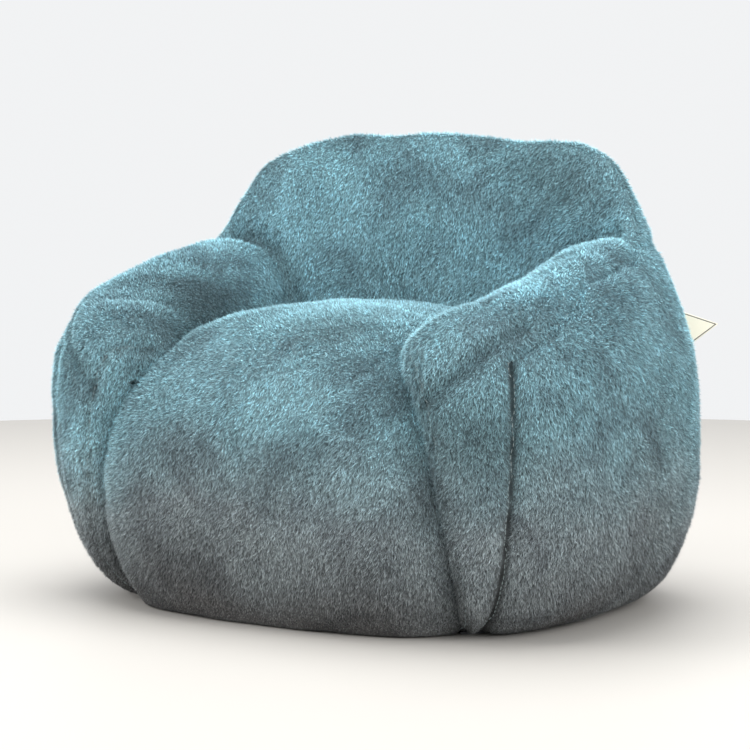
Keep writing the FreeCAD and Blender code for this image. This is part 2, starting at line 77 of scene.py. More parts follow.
PLUMP = 0.007  # and is sewn this much smaller, before the beads press it out
FOOT_SHARE, FLOOR_SHARE = 0.6, 0.4  # of an inset, at the foot's outline and above the floor


def smooth(t):
    t = np.clip(t, 0.0, 1.0)
    return t * t * (3.0 - 2.0 * t)


def bell(distance, depth, width):
    """Most at no distance, and fading away beyond the width."""
    return depth * np.exp(-(distance / width) ** 2)


def outline(angle, half, front, back, front_power, back_power):
    """Radius of a squarish plan shape at an angle, with its own power in front and behind."""
    across, s = np.abs(np.cos(angle)) / half, np.sin(angle)
    reach, power = np.where(s > 0, back, front), np.where(s > 0, back_power, front_power)
    return (across ** power + np.abs(s / reach) ** power) ** (-1.0 / power)


# %% [markdown]
# ## Crest line
# The backrest is a separate stuffed lobe, so its top falls steeply onto the arms along a crease
# that slants: it starts further back beside the seat and comes forward over the arm. A plain
# height function of the angle and of the place on the section gives that crease without any
# cutting.

# %% height of the crest
CREASE_SLANT, CREASE_FROM_U = 5.6, 1.6  # degrees per step of u, from this u on
LOBE_POWER, ARM_POWER, NOSE_DROP = 2.6, 1.7, 0.070
FALL_WIDTH, OUTER_WIDTH, FALL_LEAD = 9.0, 34.0, 0.3


def crease_away(u):
    """Degrees from the middle of the back to the crease between backrest and arm."""
    return BACK_CREASE - CREASE_SLANT * (np.clip(u, CREASE_FROM_U, 4.0) - CREASE_FROM_U)


def crest_height(away, u):
    """The backrest's lobe, the arm, and the steep but smooth fall from one to the other."""
    crease = crease_away(u)
    back = np.clip((away - BACK_FLAT) / (crease - BACK_FLAT), 0.0, 1.0)
    lobe = TOP - (TOP - LOBE_END) * back ** LOBE_POWER
    along = np.clip((away - crease) / (NOSE_START - crease), 0.0, 1.0)
    arm = ARM_JOIN + (ARM_FRONT - ARM_JOIN) * along ** ARM_POWER
    arm = arm - NOSE_DROP * np.clip((away - NOSE_START) / (TIP - NOSE_START), 0.0, None) ** 2
    width = FALL_WIDTH + OUTER_WIDTH * np.clip(2.0 - u, 0.0, 1.0)
    return lobe + (arm - lobe) * smooth((away - crease + width * FALL_LEAD) / width)


def ring_point(angle, u, inset=0.0):
    """Points of the ring for arrays of angles (radians from +X) and places u up the section."""
    away = np.abs((np.degrees(angle) - 90.0 + 180.0) % 360.0 - 180.0)
    rear = smooth((away - REAR_FROM) / REAR_FADE) * smooth((REAR_TO - away) / REAR_FADE)
    bulge = outline(angle, **BULGE) - inset - REAR_CUT * rear
    foot = outline(angle, **FOOT) - FOOT_SHARE * inset
    crest = outline(angle, **CREST)
    inner = outline(angle, **INNER) + inset
    slump = bell(90.0 - np.degrees(angle) - SLUMP_AT, SLUMP, SLUMP_WIDE)
    top = crest_height(away, u) - inset - slump
    level = BULGE_LEVEL - BULGE_RISE * np.sin(angle)
    low = FLOOR_SHARE * inset
    shoulder = CREASE_LEVEL + (top - CREASE_LEVEL) * SHOULDER
    quarter = np.clip(np.floor(u), 0, 3)
    turn = (u - quarter) * math.pi / 2
    s, c = np.abs(np.sin(turn)) ** SECTION_ROUND, np.abs(np.cos(turn)) ** SECTION_ROUND
    forward = smooth((away - BACK_FLAT) / (CORNER_SEAM - BACK_FLAT))
    leaning = np.abs(np.cos(turn)) ** (BACK_LEAN + (SECTION_ROUND - BACK_LEAN) * forward)
    radius = np.select([quarter == 0, quarter == 1, quarter == 2],
                       [foot + (bulge - foot) * s, crest + (bulge - crest) * leaning,
                        crest - (crest - inner) * s], inner)
    radius = radius - np.where(quarter == 1, REAR_SLOPE * rear * np.sin(2 * turn) ** 2, 0.0)
    z = np.select([quarter == 0, quarter == 1, quarter == 2],
                  [level - (level - low) * c, level + (top - level) * s,
                   top - (top - shoulder) * (1 - c)],
                  shoulder + (CREASE_LEVEL - shoulder) * (u - 3))
    return np.stack([radius * np.cos(angle), CENTRE_Y + radius * np.sin(angle), z], -1)


# %% [markdown]
# ## Seat pod
# The seat is a stuffed dome, squarish from above and rounder from the side. A superellipse does
# both with two powers. It narrows towards the crown and stands on the floor on a flat patch.

# %% seat pod
SEAT = dict(half=0.306, front=-0.340, back=0.190, level=0.184, top=0.398, below=0.100,
            draw_in=0.040)
SEAT_SIDE_POWER, SEAT_PLAN_POWER = 2.5, 4.0


def signed_power(value, power):
    return np.sign(value) * np.abs(value) ** power


def seat_point(turn, around, inset=0.0):
    """turn climbs from -90 degrees under the floor to 90 at the crown, in radians."""
    c = signed_power(np.cos(turn), 2 / SEAT_SIDE_POWER)
    s = signed_power(np.sin(turn), 2 / SEAT_SIDE_POWER)
    above, below = SEAT["top"] - SEAT["level"] - inset, SEAT["level"] + SEAT["below"] - inset
    z = SEAT["level"] + np.where(s > 0, above, below) * s
    half = (SEAT["half"] - inset - SEAT["draw_in"] * np.maximum(s, 0.0)) * c
    depth = ((SEAT["back"] - SEAT["front"]) / 2 - inset) * c
    x = half * signed_power(np.cos(around), 2 / SEAT_PLAN_POWER)
    middle = (SEAT["back"] + SEAT["front"]) / 2
    y = middle + depth * signed_power(np.sin(around), 2 / SEAT_PLAN_POWER)
    return np.stack([x, y, z], -1)


# %% [markdown]
# ## Meshes from grids
# Both shapes are grids of points, so one helper turns a grid into a mesh, and another works out
# the outward normal at each point from its neighbours.

# %% grid helpers
def grid_normals(points, around=False):
    """Unit normals of a grid of points, outward for the way the grids here run."""
    if around:
        dv = np.roll(points, -1, 1) - np.roll(points, 1, 1)
    else:
        dv = np.gradient(points, axis=1)
    du = np.gradient(points, axis=0)
    n = np.cross(du, dv)
    return n / np.maximum(np.linalg.norm(n, axis=-1, keepdims=True), 1e-12)


def mesh_object(name, verts, faces):
    mesh = bpy.data.meshes.new(name)
    mesh.from_pydata([tuple(v) for v in verts], [], faces)
    mesh.update()
    piece = bpy.data.objects.new(name, mesh)
    scene.collection.objects.link(piece)
    mesh.polygons.foreach_set("use_smooth", [True] * len(faces))
    return piece


def crowded(start, end, count, places, spread, strength):
    """Values from start to end that gather near the given places, where seams need finer cells."""
    even = np.linspace(start, end, 4001)
    weight = 1.0 + strength * sum(bell(even - place, 1.0, spread) for place in places)
    total = np.concatenate([[0.0], np.cumsum((weight[1:] + weight[:-1]) / 2)])
    return np.interp(np.linspace(0.0, total[-1], count), total, even)


RING_COLUMNS, RING_ROWS, POD_ROWS, POD_COLUMNS = 531, 161, (34, 80), 320
TURNED = crowded(-TIP, TIP, RING_COLUMNS,
                 (-CORNER_SEAM, -REAR_SEAM, REAR_SEAM, CORNER_SEAM), 1.6, 6.0)
ANGLES = np.radians(90.0 + TURNED)
US = crowded(0.0, 4.0, RING_ROWS, (1.3, 1.7), 0.10, 1.5)
A, U = np.meshgrid(ANGLES, US, indexing="ij")
AWAY = np.abs(np.degrees(A) - 90.0)
ring = ring_point(A, U, PILE + PLUMP)
ring_out = grid_normals(ring)
outward = np.sign((ring_out[..., :2] * ring[..., :2])[len(ANGLES) // 2, 20].sum())
ring_out = ring_out * outward
print("ring grid", ring.shape, "normals turned", outward)

SEAT_BOTTOM = -42.0  # degrees below the widest level at which the pod's cloth ends
TURNS = np.radians(np.concatenate([np.linspace(SEAT_BOTTOM, 0.0, POD_ROWS[0]),
                                   np.linspace(0.0, 90.0, POD_ROWS[1])[1:]]))
AROUND = np.linspace(0.0, 2 * math.pi, POD_COLUMNS, endpoint=False)
T, R = np.meshgrid(TURNS, AROUND, indexing="ij")
seat = seat_point(T, R, PILE + PLUMP)
print("seat grid", seat.shape, "lowest", round(float(seat[..., 2].min()), 4))

# %% [markdown]
# ## Where the arms end
# Each arm is sewn to the seat along a straight slanting seam. The arm's surface is rounded over at
# that plane and turned in behind the seat, as cloth is pulled into a seam.

# %% end the arms at the seat seam
SEAM_FOOT, SEAM_TOP, SEAM_TOP_U, SEAM_ROUND = 133.5, 144.5, 1.45, 0.014
ARMS_FROM, DRAWN_IN = 110.0, 0.9  # the arms begin past this angle; cloth drawn in past the seam


def seam_plane():
    foot = ring_point(np.radians(90.0 - SEAM_FOOT), np.float64(0.0))
    top = ring_point(np.radians(90.0 - SEAM_TOP), np.float64(SEAM_TOP_U))
    middle = math.radians(90.0 - (SEAM_FOOT + SEAM_TOP) / 2)
    normal = np.cross(top - foot, [math.cos(middle), math.sin(middle), 0.0])
    normal = normal / np.linalg.norm(normal)
    return foot, normal * np.sign(normal[0])


SEAM_POINT, SEAM_NORMAL = seam_plane()


def turned_in(points, normals):
    """Round the ring over at the seat seam on both sides and run it inwards behind the seat."""
    result = points.copy()
    for side in (1.0, -1.0):
        mirror = np.array([side, 1.0, 1.0])
        p, n = points * mirror, normals * mirror
        d = (p - SEAM_POINT) @ SEAM_NORMAL
        sideways = n - (n @ SEAM_NORMAL)[..., None] * SEAM_NORMAL
        sideways /= np.maximum(np.linalg.norm(sideways, axis=-1, keepdims=True), 1e-9)
        t = np.clip((SEAM_ROUND - d) / SEAM_ROUND, 0.0, 1.0)
        drop = SEAM_ROUND * (1 - np.sqrt(1 - t ** 2)) + np.maximum(-d, 0.0) * DRAWN_IN
        moved = p - sideways * drop[..., None] + SEAM_NORMAL * np.maximum(-d, 0.0)[..., None]
        near = (d < SEAM_ROUND) & (p[..., 0] > 0) & (AWAY > ARMS_FROM)
        result = np.where(near[..., None], moved * mirror, result)
    return result


ring = turned_in(ring, ring_out)
print("seat seam plane faces", [round(float(c), 3) for c in SEAM_NORMAL])

# %% [markdown]
# ## Seams
# Seams are where the cover dips and the pile is caught short. Every seam is a list of points on
# the surface; the distance to the nearest one drives the groove, the length of the pile and later
# the stitches.

# %% seam lines
SIDES = ((1.0, "left"), (-1.0, "right"))
SEAT_SEAM_U, CORNER_TOP_U = 2.3, 1.3  # how far up the section these seams run
SIDE_TOP_FALL = 112.0  # from this angle on, the side seam falls towards the corner seam
SOFT_JOIN = 24.0  # how sharply it turns from its sloping to its level run
FOLD_AHEAD = 5.5  # degrees from the fall of the crest to the fold at its foot
BURIED = 0.0045  # how much further away a buried seam counts as being


def side_top_u(away):
    return np.interp(away, [SIDE_TOP_FALL, CORNER_SEAM], [SIDE_TOP_U, CORNER_TOP_U])


def on_ring(away, u, side):
    angle = math.radians(90.0 - side * away)
    return ring_point(np.float64(angle), np.float64(u), PILE + PLUMP)


def u_at_level(away, level):
    us = np.linspace(1.0, 2.0, 60)
    z = ring_point(np.full(60, math.radians(90.0 - away)), us, PILE)[:, 2]
    return float(np.interp(level, z, us))


def seat_seam_away(u):
    """Degrees from the middle of the back to the seat seam, at one place up the section."""
    aways = np.linspace(122.0, TIP, 120)
    p = ring_point(np.radians(90.0 - aways), np.full(120, u), PILE)
    return float(aways[np.argmin(np.abs((p - SEAM_POINT) @ SEAM_NORMAL))])


def seam_lines():
    lines = {}
    for side, name in SIDES:
        lines[name + "_seat"] = [on_ring(seat_seam_away(u), u, side)
                                 for u in np.linspace(0.0, SEAT_SEAM_U, 110)]
        lines[name + "_corner"] = [on_ring(CORNER_SEAM, u, side)
                                   for u in np.linspace(0.0, CORNER_TOP_U, 80)]
        top = []
        for away in np.linspace(CORNER_SEAM, REAR_SEAM, 110):
            both = np.array([float(side_top_u(away)), u_at_level(away, SIDE_TOP_LEVEL)])
            top.append(on_ring(away, -np.log(np.exp(-SOFT_JOIN * both).sum()) / SOFT_JOIN, side))
        lines[name + "_side_top"] = top
        lines[name + "_rear"] = [on_ring(REAR_SEAM, u, side)
                                 for u in np.linspace(0.0, BACK_TOP_U, 110)]
    lines["back_top"] = [on_ring(away, BACK_TOP_U, 1.0)
                         for away in np.linspace(-REAR_SEAM, REAR_SEAM, 90)]
    return lines


def crease_lines():
    lines = {}
    for side, name in SIDES:
        lines[name] = [on_ring(float(crease_away(u)) + FOLD_AHEAD * (4.0 - u) / 2.0, u, side)
                       for u in np.linspace(1.95, 4.0, 120)]
    return lines


def fold_lines():
    """The slack fold that runs across each arm's front, below its rounded top."""
    turns = [(0.246, -0.318, 0.282), (0.300, -0.295, 0.333), (0.340, -0.236, 0.373)]
    steps, lines = np.linspace(0, 1, 20), {}
    for side, name in SIDES:
        ends = [np.array(p) * np.array([side, 1.0, 1.0]) for p in turns]
        lines[name] = [a + (b - a) * t for a, b in zip(ends, ends[1:]) for t in steps]
    return lines


seams, creases = seam_lines(), crease_lines()
print({name: len(line) for name, line in seams.items()})


def distance_to(lines, points):
    """Distance from each point of a grid to the nearest point of the seam lines."""
    every = [p for line in lines.values() for p in line]
    tree = kdtree.KDTree(len(every))
    for i, p in enumerate(every):
        tree.insert(p, i)
    tree.balance()
    flat = points.reshape(-1, 3)
    return np.array([tree.find(p)[2] for p in flat]).reshape(points.shape[:-1])


# The seams called "top" have pile closing over them, so that they show only as a faint line.
buried = {name: line for name, line in seams.items() if "top" in name}
open_seams = {name: line for name, line in seams.items() if name not in buried}
seam_distance = np.minimum(distance_to(open_seams, ring), distance_to(buried, ring) + BURIED)
crease_distance = distance_to(creases, ring)
slack_distance = distance_to(fold_lines(), ring)
seat_seams = {name: line for name, line in seams.items() if "seat" in name}
seat_distance = distance_to(seat_seams, seat)
print("nearest to a seam", round(float(seam_distance.min()), 5))

# %% [markdown]
# ## Stuffing
# The beads press the cover outwards from inside. The seat pod is a closed bag, so a short cloth
# simulation can do the same: its seams are pinned, pressure blows the cloth up between them, and
# the movement, capped so that the chair keeps its size, is carried over to the fine grid. The ring
# is an open sheet whose inner and outer walls would pull its crest down under pressure, so there a
# smooth rise away from each seam does the job instead.

# %% press the cover out between its seams
STEPS, PRESSURE = 20, 40.0
EVEN_RISE = 0.4  # share of the movement that is the same everywhere
MOST_RISE = 1.60  # cap on the rest, as a share of PLUMP
PINNED = 0.0045  # the cover is pinned this near a seam
SEAM_PINCH = 0.013  # the cover has risen to its full height this far from a seam


def half_grid_spread(coarse, shape):
    """Carry values of every second grid point over to all of them, all the way round."""
    fine = np.zeros(shape)
    fine[::2, ::2] = coarse
    fine[::2, 1::2] = (coarse + np.roll(coarse, -1, 1)) / 2
    fine[1::2] = (fine[:-1:2] + fine[2::2]) / 2
    return fine


def pressed_out(piece, held):
    """Blow a closed bag up with the given vertices pinned; returns its new vertex places."""
    group = piece.vertex_groups.new(name="seams")
    group.add(held, 1.0, "REPLACE")
    cloth = piece.modifiers.new("stuffing", "CLOTH")
    cloth.settings.quality, cloth.settings.mass = 4, 0.2
    cloth.settings.use_pressure, cloth.settings.uniform_pressure_force = True, PRESSURE
    cloth.settings.vertex_group_mass = "seams"
    cloth.settings.effector_weights.gravity = 0.0
    cloth.point_cache.frame_start, cloth.point_cache.frame_end = 1, STEPS
    for step in range(1, STEPS + 1):
        scene.frame_set(step)
    swollen = piece.evaluated_get(bpy.context.evaluated_depsgraph_get()).to_mesh()
    places = np.zeros(len(swollen.vertices) * 3)
    swollen.vertices.foreach_get("co", places)
    scene.frame_set(1)
    return places


def plumped(points, normals, held, name):
    """The seat's grid, moved out along its normals as the simulation of a coarser grid says."""
    coarse, out, pinned = points[::2, ::2], normals[::2, ::2], held[::2, ::2]
    rows, columns = coarse.shape[:2]
    index = np.arange(rows * columns).reshape(rows, columns)
    pairs = [(j, (j + 1) % columns) for j in range(columns)]
    faces = [tuple(map(int, (index[i, a], index[i + 1, a], index[i + 1, b], index[i, b])))
             for i in range(rows - 1) for a, b in pairs]
    piece = mesh_object(name, coarse.reshape(-1, 3), faces)
    middle = piece.data.polygons[len(faces) // 2]
    if middle.normal.dot(Vector(out.reshape(-1, 3)[middle.vertices[0]])) < 0:
        piece.data.flip_normals()
    places = pressed_out(piece, [int(k) for k in index[pinned]])
    risen = ((places.reshape(coarse.shape) - coarse) * out).sum(-1)
    usual = float(np.median(risen[~pinned]))
    print(name, "usual rise", round(usual, 5), "most", round(float(risen.max()), 4))
    share = EVEN_RISE + (1.0 - EVEN_RISE) * np.clip(risen / usual, 0.0, MOST_RISE)
    share = np.where(pinned, 0.0, share)
    bpy.data.objects.remove(piece)
    return points + half_grid_spread(out * (PLUMP * share)[..., None], points.shape)


rise = 1.0 - bell(seam_distance, 1.0, SEAM_PINCH)
ring = ring + ring_out * (PLUMP * rise)[..., None]
seat_out = grid_normals(seat, around=True)
seat_out = seat_out * np.sign(seat_out[60, 0, 0])
seat_held = seat_distance < PINNED
seat_held[0] = True
seat = plumped(seat, seat_out, seat_held, "stuffed_seat")
print("pinned points of the seat", int(seat_held.sum()))

# %% [markdown]
# ## Grooves and puckers
# A groove is the surface pushed in near a seam. The stuffing swells between the seams, and slow
# waves stand in for the unevenness of loose beads. Waves come from a few sines, which are cheap
# and come out the same on every run.

# %% grooves, puckers and slow waves
def waves(points, size):
    x, y, z = (points[..., i] / size for i in range(3))
    return (np.sin(2.1 * x + 1.3 * y + 0.4) * np.sin(1.7 * z + 0.9 * x + 1.1)
            + 0.6 * np.sin(3.1 * y - 2.3 * z + 2.0) * np.sin(2.9 * x + 0.5)) / 1.6


GROOVE, SLACK = (0.0045, 0.0048), (0.0075, 0.011)  # depth and width of each kind
FOLD, WIDE_FOLD = (0.011, 0.016), (0.004, 0.045)
SWELL, SMALL_SWELL = (0.0019, 0.060), (0.0011, 0.026)  # height and size of the waves
FLOOR_CALM = 0.06  # the waves die out below this height
CLEAR_OF_FLOOR = 0.0025


def dressed(points, normals, seam, crease, slack):
    dip = bell(seam, *GROOVE) + bell(slack, *SLACK)
    fold = bell(crease, *FOLD) + bell(crease, *WIDE_FOLD)
    swell = SWELL[0] * waves(points, SWELL[1])
    swell = swell + SMALL_SWELL[0] * waves(points[..., ::-1], SMALL_SWELL[1])
    lift = np.clip(points[..., 2] / FLOOR_CALM, 0.0, 1.0)
    return points - normals * (dip + fold - swell * lift)[..., None]


ring = dressed(ring, ring_out, seam_distance, crease_distance, slack_distance)
far_off = np.full(seat.shape[:-1], 1.0)
seat = dressed(seat, seat_out, seat_distance, far_off, far_off)
seat[..., 2] = np.maximum(seat[..., 2], CLEAR_OF_FLOOR)
ring[..., 2] = np.maximum(ring[..., 2], CLEAR_OF_FLOOR)
print("highest", round(float(ring[..., 2].max()), 4), round(float(seat[..., 2].max()), 4))

# %% [markdown]
# ## Panels
# The cover is cut from panels. Each panel takes its own patch of the grid, so neighbours share
# their edge exactly and no daylight shows between them.

# %% cut the ring into panels
def panel_of(away, angle, u, z):
    side = "left" if angle < math.pi / 2 else "right"
    if away < REAR_SEAM:
        return "back_panel" if u < BACK_TOP_U else "backrest_panel"
    if away < CORNER_SEAM and u < side_top_u(away) and (z < SIDE_TOP_LEVEL or u < 1.0):
        return side + "_side_panel"
    if away < crease_away(u):
        return "backrest_panel"
    return side + "_arm_panel"


def cut_panels():
    faces = {}
    for i in range(len(ANGLES) - 1):
        for j in range(len(US) - 1):
            angle, u = (ANGLES[i] + ANGLES[i + 1]) / 2, (US[j] + US[j + 1]) / 2
            z = ring[i:i + 2, j:j + 2, 2].mean()
            name = panel_of(abs(math.degrees(angle) - 90.0), angle, u, z)
            faces.setdefault(name, []).append((i, j))
    return faces


def panel_object(name, cells, points, flip):
    """A mesh of the chosen grid cells, and the grid place that each vertex came from."""
    index, verts, polygons = {}, [], []
    for i, j in cells:
        beside = (j + 1) % points.shape[1]
        ids = []
        for corner in ((i, j), (i + 1, j), (i + 1, beside), (i, beside)):
            if corner not in index:
                index[corner] = len(verts)
                verts.append(points[corner])
            ids.append(index[corner])
        polygons.append(ids[::-1] if flip else ids)
    return mesh_object(name, verts, polygons), np.array(list(index))


cells = cut_panels()
panels = {}
for name, patch in cells.items():
    panels[name] = panel_object(name + "_cloth", patch, ring, outward < 0)


HIDDEN = 0.036  # the seat panel runs this far under its neighbours
SEAT_CORE = Vector((0.0, -0.070, 0.180))


def inside_ring(p):
    """How deep a point of the pod lies behind the seat seams and the inner faces of the ring."""
    angle = math.atan2(p[1] - CENTRE_Y, p[0])
    inner = float(outline(angle, **INNER))
    behind = (p * np.array([np.sign(p[0]), 1, 1]) - SEAM_POINT) @ SEAM_NORMAL
    return min(behind, math.hypot(p[0], p[1] - CENTRE_Y) - inner)


seat_depth = np.array([[inside_ring(p) for p in row] for row in seat])
seat_cells = [(i, j) for i in range(len(TURNS) - 1) for j in range(len(AROUND))
              if seat_depth[i, j] < HIDDEN]
panels["seat_panel"] = panel_object("seat_panel_cloth", seat_cells, seat, False)
check = panels["seat_panel"][0].data.polygons[len(seat_cells) // 2]
if check.normal.dot(Vector(check.center) - SEAT_CORE) < 0:
    panels["seat_panel"][0].data.flip_normals()
for name, (piece, _) in panels.items():
    print(name, len(piece.data.polygons))

# %% [markdown]
# ## Nap
# Faux fur has a nap: it lies one way, here down the sides and forward over the tops. Storing that
# direction and the room near each seam on the cloth lets the pile be grown from it afterwards.

# %% nap and pile length on each panel
# Places painted darker or paler on the pile: middle, reach and how much darker (less than 0:
# paler).
# Some are brushed patches of nap; others are painted shade, as on the front of an arm and at the
# end of its fold, and the paler ones are painted highlights.
STROKES_AND_PAINTED_LIGHT = [((0.17, 0.12, 0.575), 0.075, 0.24), ((0.244, 0.117, 0.536), 0.055, 0.26),
           ((-0.222, -0.12, 0.38), 0.090, 0.42), ((-0.20, -0.22, 0.35), 0.050, 0.30),
           ((0.07, -0.235, 0.365), 0.060, 0.16), ((0.310, -0.297, 0.245), 0.075, 0.40),
           ((-0.10, 0.10, 0.44), 0.070, 0.14), ((0.25, -0.29, 0.16), 0.045, 0.16),
           ((-0.12, -0.30, 0.20), 0.090, 0.06), ((0.40, 0.05, 0.16), 0.080, 0.10),
           ((0.335, -0.235, 0.368), 0.022, 0.12), ((0.0, 0.12, 0.46), 0.120, 0.10),
           ((0.304, -0.158, 0.403), 0.065, -0.22), ((-0.30, -0.30, 0.20), 0.085, -0.20)]
FLATTER = np.array([1.0, 1.0, 1.5])  # strokes run sideways more than they run down
LABEL_PLACE, LABEL_ROOM = np.array([0.335, 0.235, 0.355]), (0.45, 0.035)
SIDE_HANG, BACK_HANG = np.array([0.0, -0.35, -1.0]), np.array([0.0, 0.2, -1.0])
# Painted shade: how much darker the pile is painted in each kind of groove, where shade falls,
# and how wide that runs.
SEAM_PAINTED_SHADE, FOLD_PAINTED_SHADE, SLACK_PAINTED_SHADE = (0.80, 0.0042), (0.34, 0.013), (0.26, 0.014)
# The shortest pile, as a share, and where it starts and how far it takes to reach its full length.
SEAM_PILE, FLOOR_PILE = (0.05, 0.0010, 0.0070), (0.30, 0.004, 0.05)


def brushed_patches_and_painted_light(coords):
    # painted light: darker at brushed patches and painted shade, paler at painted highlights
    shade = np.ones(len(coords))
    for place, reach, depth in STROKES_AND_PAINTED_LIGHT:
        away = np.linalg.norm((coords - np.array(place)) * FLATTER, axis=1)
        shade *= 1.0 - bell(away, depth, reach)
    return shade


def store(mesh, name, kind, values):
    layer = mesh.attributes.new(name, kind, "POINT")
    layer.data.foreach_set("vector" if kind == "FLOAT_VECTOR" else "value", values)


def longer(distance, least, start, run):
    return least + (1.0 - least) * smooth((distance - start) / run)


def dress_panel(name):
    """Store the way the pile lies, how long it may grow and how dark it is painted on each vertex:
    brushed patches, painted shade and painted highlights.
    """
    piece, order = panels[name]
    mesh = piece.data
    coords = np.array([v.co for v in mesh.vertices])
    normals = np.array([v.normal for v in mesh.vertices])
    hang = SIDE_HANG if name != "back_panel" else BACK_HANG
    lie = hang - (normals @ hang)[:, None] * normals
    lie /= np.maximum(np.linalg.norm(lie, axis=1, keepdims=True), 1e-9)
    rows, columns = order[:, 0], order[:, 1]
    if name == "seat_panel":
        near = seat_distance[rows, columns]
        fold = slack = near + 1.0
    else:
        near, fold, slack = (grid[rows, columns]
                             for grid in (seam_distance, crease_distance, slack_distance))
    reach = longer(near, *SEAM_PILE)
    reach = reach * (1.0 - bell(np.linalg.norm(coords - LABEL_PLACE, axis=1), *LABEL_ROOM))
    reach = reach * longer(coords[:, 2], *FLOOR_PILE)
    # painted light: brushed patches and painted highlights from the strokes, and painted shade in
    # the seams, creases and slack folds, where shade falls
    shade = (brushed_patches_and_painted_light(coords) * (1.0 - bell(near, *SEAM_PAINTED_SHADE))
             * (1.0 - bell(fold, *FOLD_PAINTED_SHADE)) * (1.0 - bell(slack, *SLACK_PAINTED_SHADE)))
    store(mesh, "brushing_and_painted_light", "FLOAT", shade)
    store(mesh, "nap", "FLOAT_VECTOR", lie.ravel())
    store(mesh, "room", "FLOAT", reach)
    return sum(p.area for p in mesh.polygons)


areas = {name: dress_panel(name) for name in panels}
print({name: round(area, 3) for name, area in areas.items()})
print("total area", round(sum(areas.values()), 2))

# %% [markdown]
# ## Materials
# A small helper keeps each material readable: it adds a node, sets its sockets and links it. The
# plush needs two materials, one for the backing cloth and one for the strands that grow from it,
# and both take their colour from the same group so that they agree.

# %% node helper
def add(tree, kind, inputs=None, **settings):
    node = tree.nodes.new(kind)
    for key, value in settings.items():
        setattr(node, key, value)
    for key, value in (inputs or {}).items():
        if isinstance(value, bpy.types.NodeSocket):
            tree.links.new(value, node.inputs[key])
        else:
            node.inputs[key].default_value = value
    return node


def math_node(tree, operation, first, second=0.0):
    node = add(tree, "ShaderNodeMath", {0: first, 1: second}, operation=operation)
    return node.outputs[0]


def times(tree, *factors):
    """Multiply any number of values, in their order."""
    product = factors[0]
    for factor in factors[1:]:
        product = math_node(tree, "MULTIPLY", product, factor)
    return product


def place_in(tree):
    return add(tree, "ShaderNodeTexCoord").outputs["Object"]


def stored(tree, name):
    return add(tree, "ShaderNodeAttribute", attribute_name=name).outputs["Fac"]


def noise_of(tree, scale, **more):
    given = {"Vector": place_in(tree), "Scale": scale, **more}
    return add(tree, "ShaderNodeTexNoise", given).outputs[0]


def round_cells(tree, scale):
    given = {"Vector": place_in(tree), "Scale": scale}
    return add(tree, "ShaderNodeTexVoronoi", given).outputs["Distance"]


def bands(tree, scale, direction):
    return add(tree, "ShaderNodeTexWave", {"Vector": place_in(tree), "Scale": scale},
               bands_direction=direction).outputs["Fac"]


def finished(material, tree, bsdf, colour, height=None, strength=0.0, distance=0.0, invert=False):
    """Link a material's colour, and a bump if a height is given."""
    tree.links.new(colour, bsdf.inputs["Base Color"])
    if height is not None:
        bump = add(tree, "ShaderNodeBump", {"Height": height, "Strength": strength,
                                            "Distance": distance}, invert=invert)
        tree.links.new(bump.outputs[0], bsdf.inputs["Normal"])
    return material


def new_material(name, **shader):
    material = bpy.data.materials.new(name)
    material.use_nodes = True
    bsdf = material.node_tree.nodes["Principled BSDF"]
    for key, value in shader.items():
        bsdf.inputs[key.replace("_", " ")].default_value = value
    return material, material.node_tree, bsdf


def patterned(name, pattern, stops, *bump, invert=False, **shader):
    """A material whose colour, and bump if any, follow one pattern."""
    material, tree, bsdf = new_material(name, **shader)
    value = pattern(tree)
    height = value if bump else None
    return finished(material, tree, bsdf, ramp(tree, value, stops), height, *bump, invert=invert)


def ramp(tree, factor, stops):
    node = add(tree, "ShaderNodeValToRGB", {0: factor})
    elements = node.color_ramp.elements
    while len(elements) < len(stops):
        elements.new(0.5)
    for element, (place, colour) in zip(elements, stops):
        element.position, element.color = place, (*colour, 1.0)
    return node.outputs[0]


print("node helpers ready")


# %% [markdown]
# ## Plush colour
# The dye is an even teal. Height in object space paints it darker and greyer towards the floor
# and a little paler towards the top: painted shade low down and painted light on top. Slow noise
# makes darker and paler patches, as brushed nap shows, and strands are painted darker at their
# roots as shade among them.

# %% plush colour group
# painted shade and light by height: darker and greyer towards the floor, a little paler on top
DYE_WITH_PAINTED_LIGHT = [(0.0, (0.200, 0.200, 0.200)), (0.22, (0.405, 0.472, 0.495)), (0.42, (0.385, 0.600, 0.660)),
       (0.75, (0.380, 0.620, 0.690)), (1.0, (0.390, 0.635, 0.700))]  # from the floor up
BRUSHED = [(0.34, (0.74, 0.74, 0.75)), (0.5, (1.0, 1.0, 1.0)), (0.7, (1.13, 1.12, 1.11))]
CHAIR_HEIGHT, DRIFT = 0.63, 0.16


def multiplied(tree, first, second):
    return add(tree, "ShaderNodeMix", {"Factor": 1.0, 6: first, 7: second}, data_type="RGBA",
               blend_type="MULTIPLY").outputs[2]


def plush_colour():
    group = bpy.data.node_groups.new("plush_colour", "ShaderNodeTree")
    group.interface.new_socket(name="Colour", in_out="OUTPUT", socket_type="NodeSocketColor")
    height = add(group, "ShaderNodeSeparateXYZ", {0: place_in(group)}).outputs["Z"]
    shift = math_node(group, "MULTIPLY_ADD", noise_of(group, 5.0, Detail=2.0), DRIFT)
    shift.node.inputs[2].default_value = -DRIFT / 2
    level = math_node(group, "ADD", height, shift)
    teal_with_painted_light = ramp(group, math_node(group, "DIVIDE", level, CHAIR_HEIGHT), DYE_WITH_PAINTED_LIGHT)
    patch = noise_of(group, 11.0, Detail=3.0, Roughness=0.55, Distortion=0.6)
    out = add(group, "NodeGroupOutput", {})
    group.links.new(multiplied(group, teal_with_painted_light, ramp(group, patch, BRUSHED)), out.inputs[0])
    return group


COLOUR_GROUP = plush_colour()


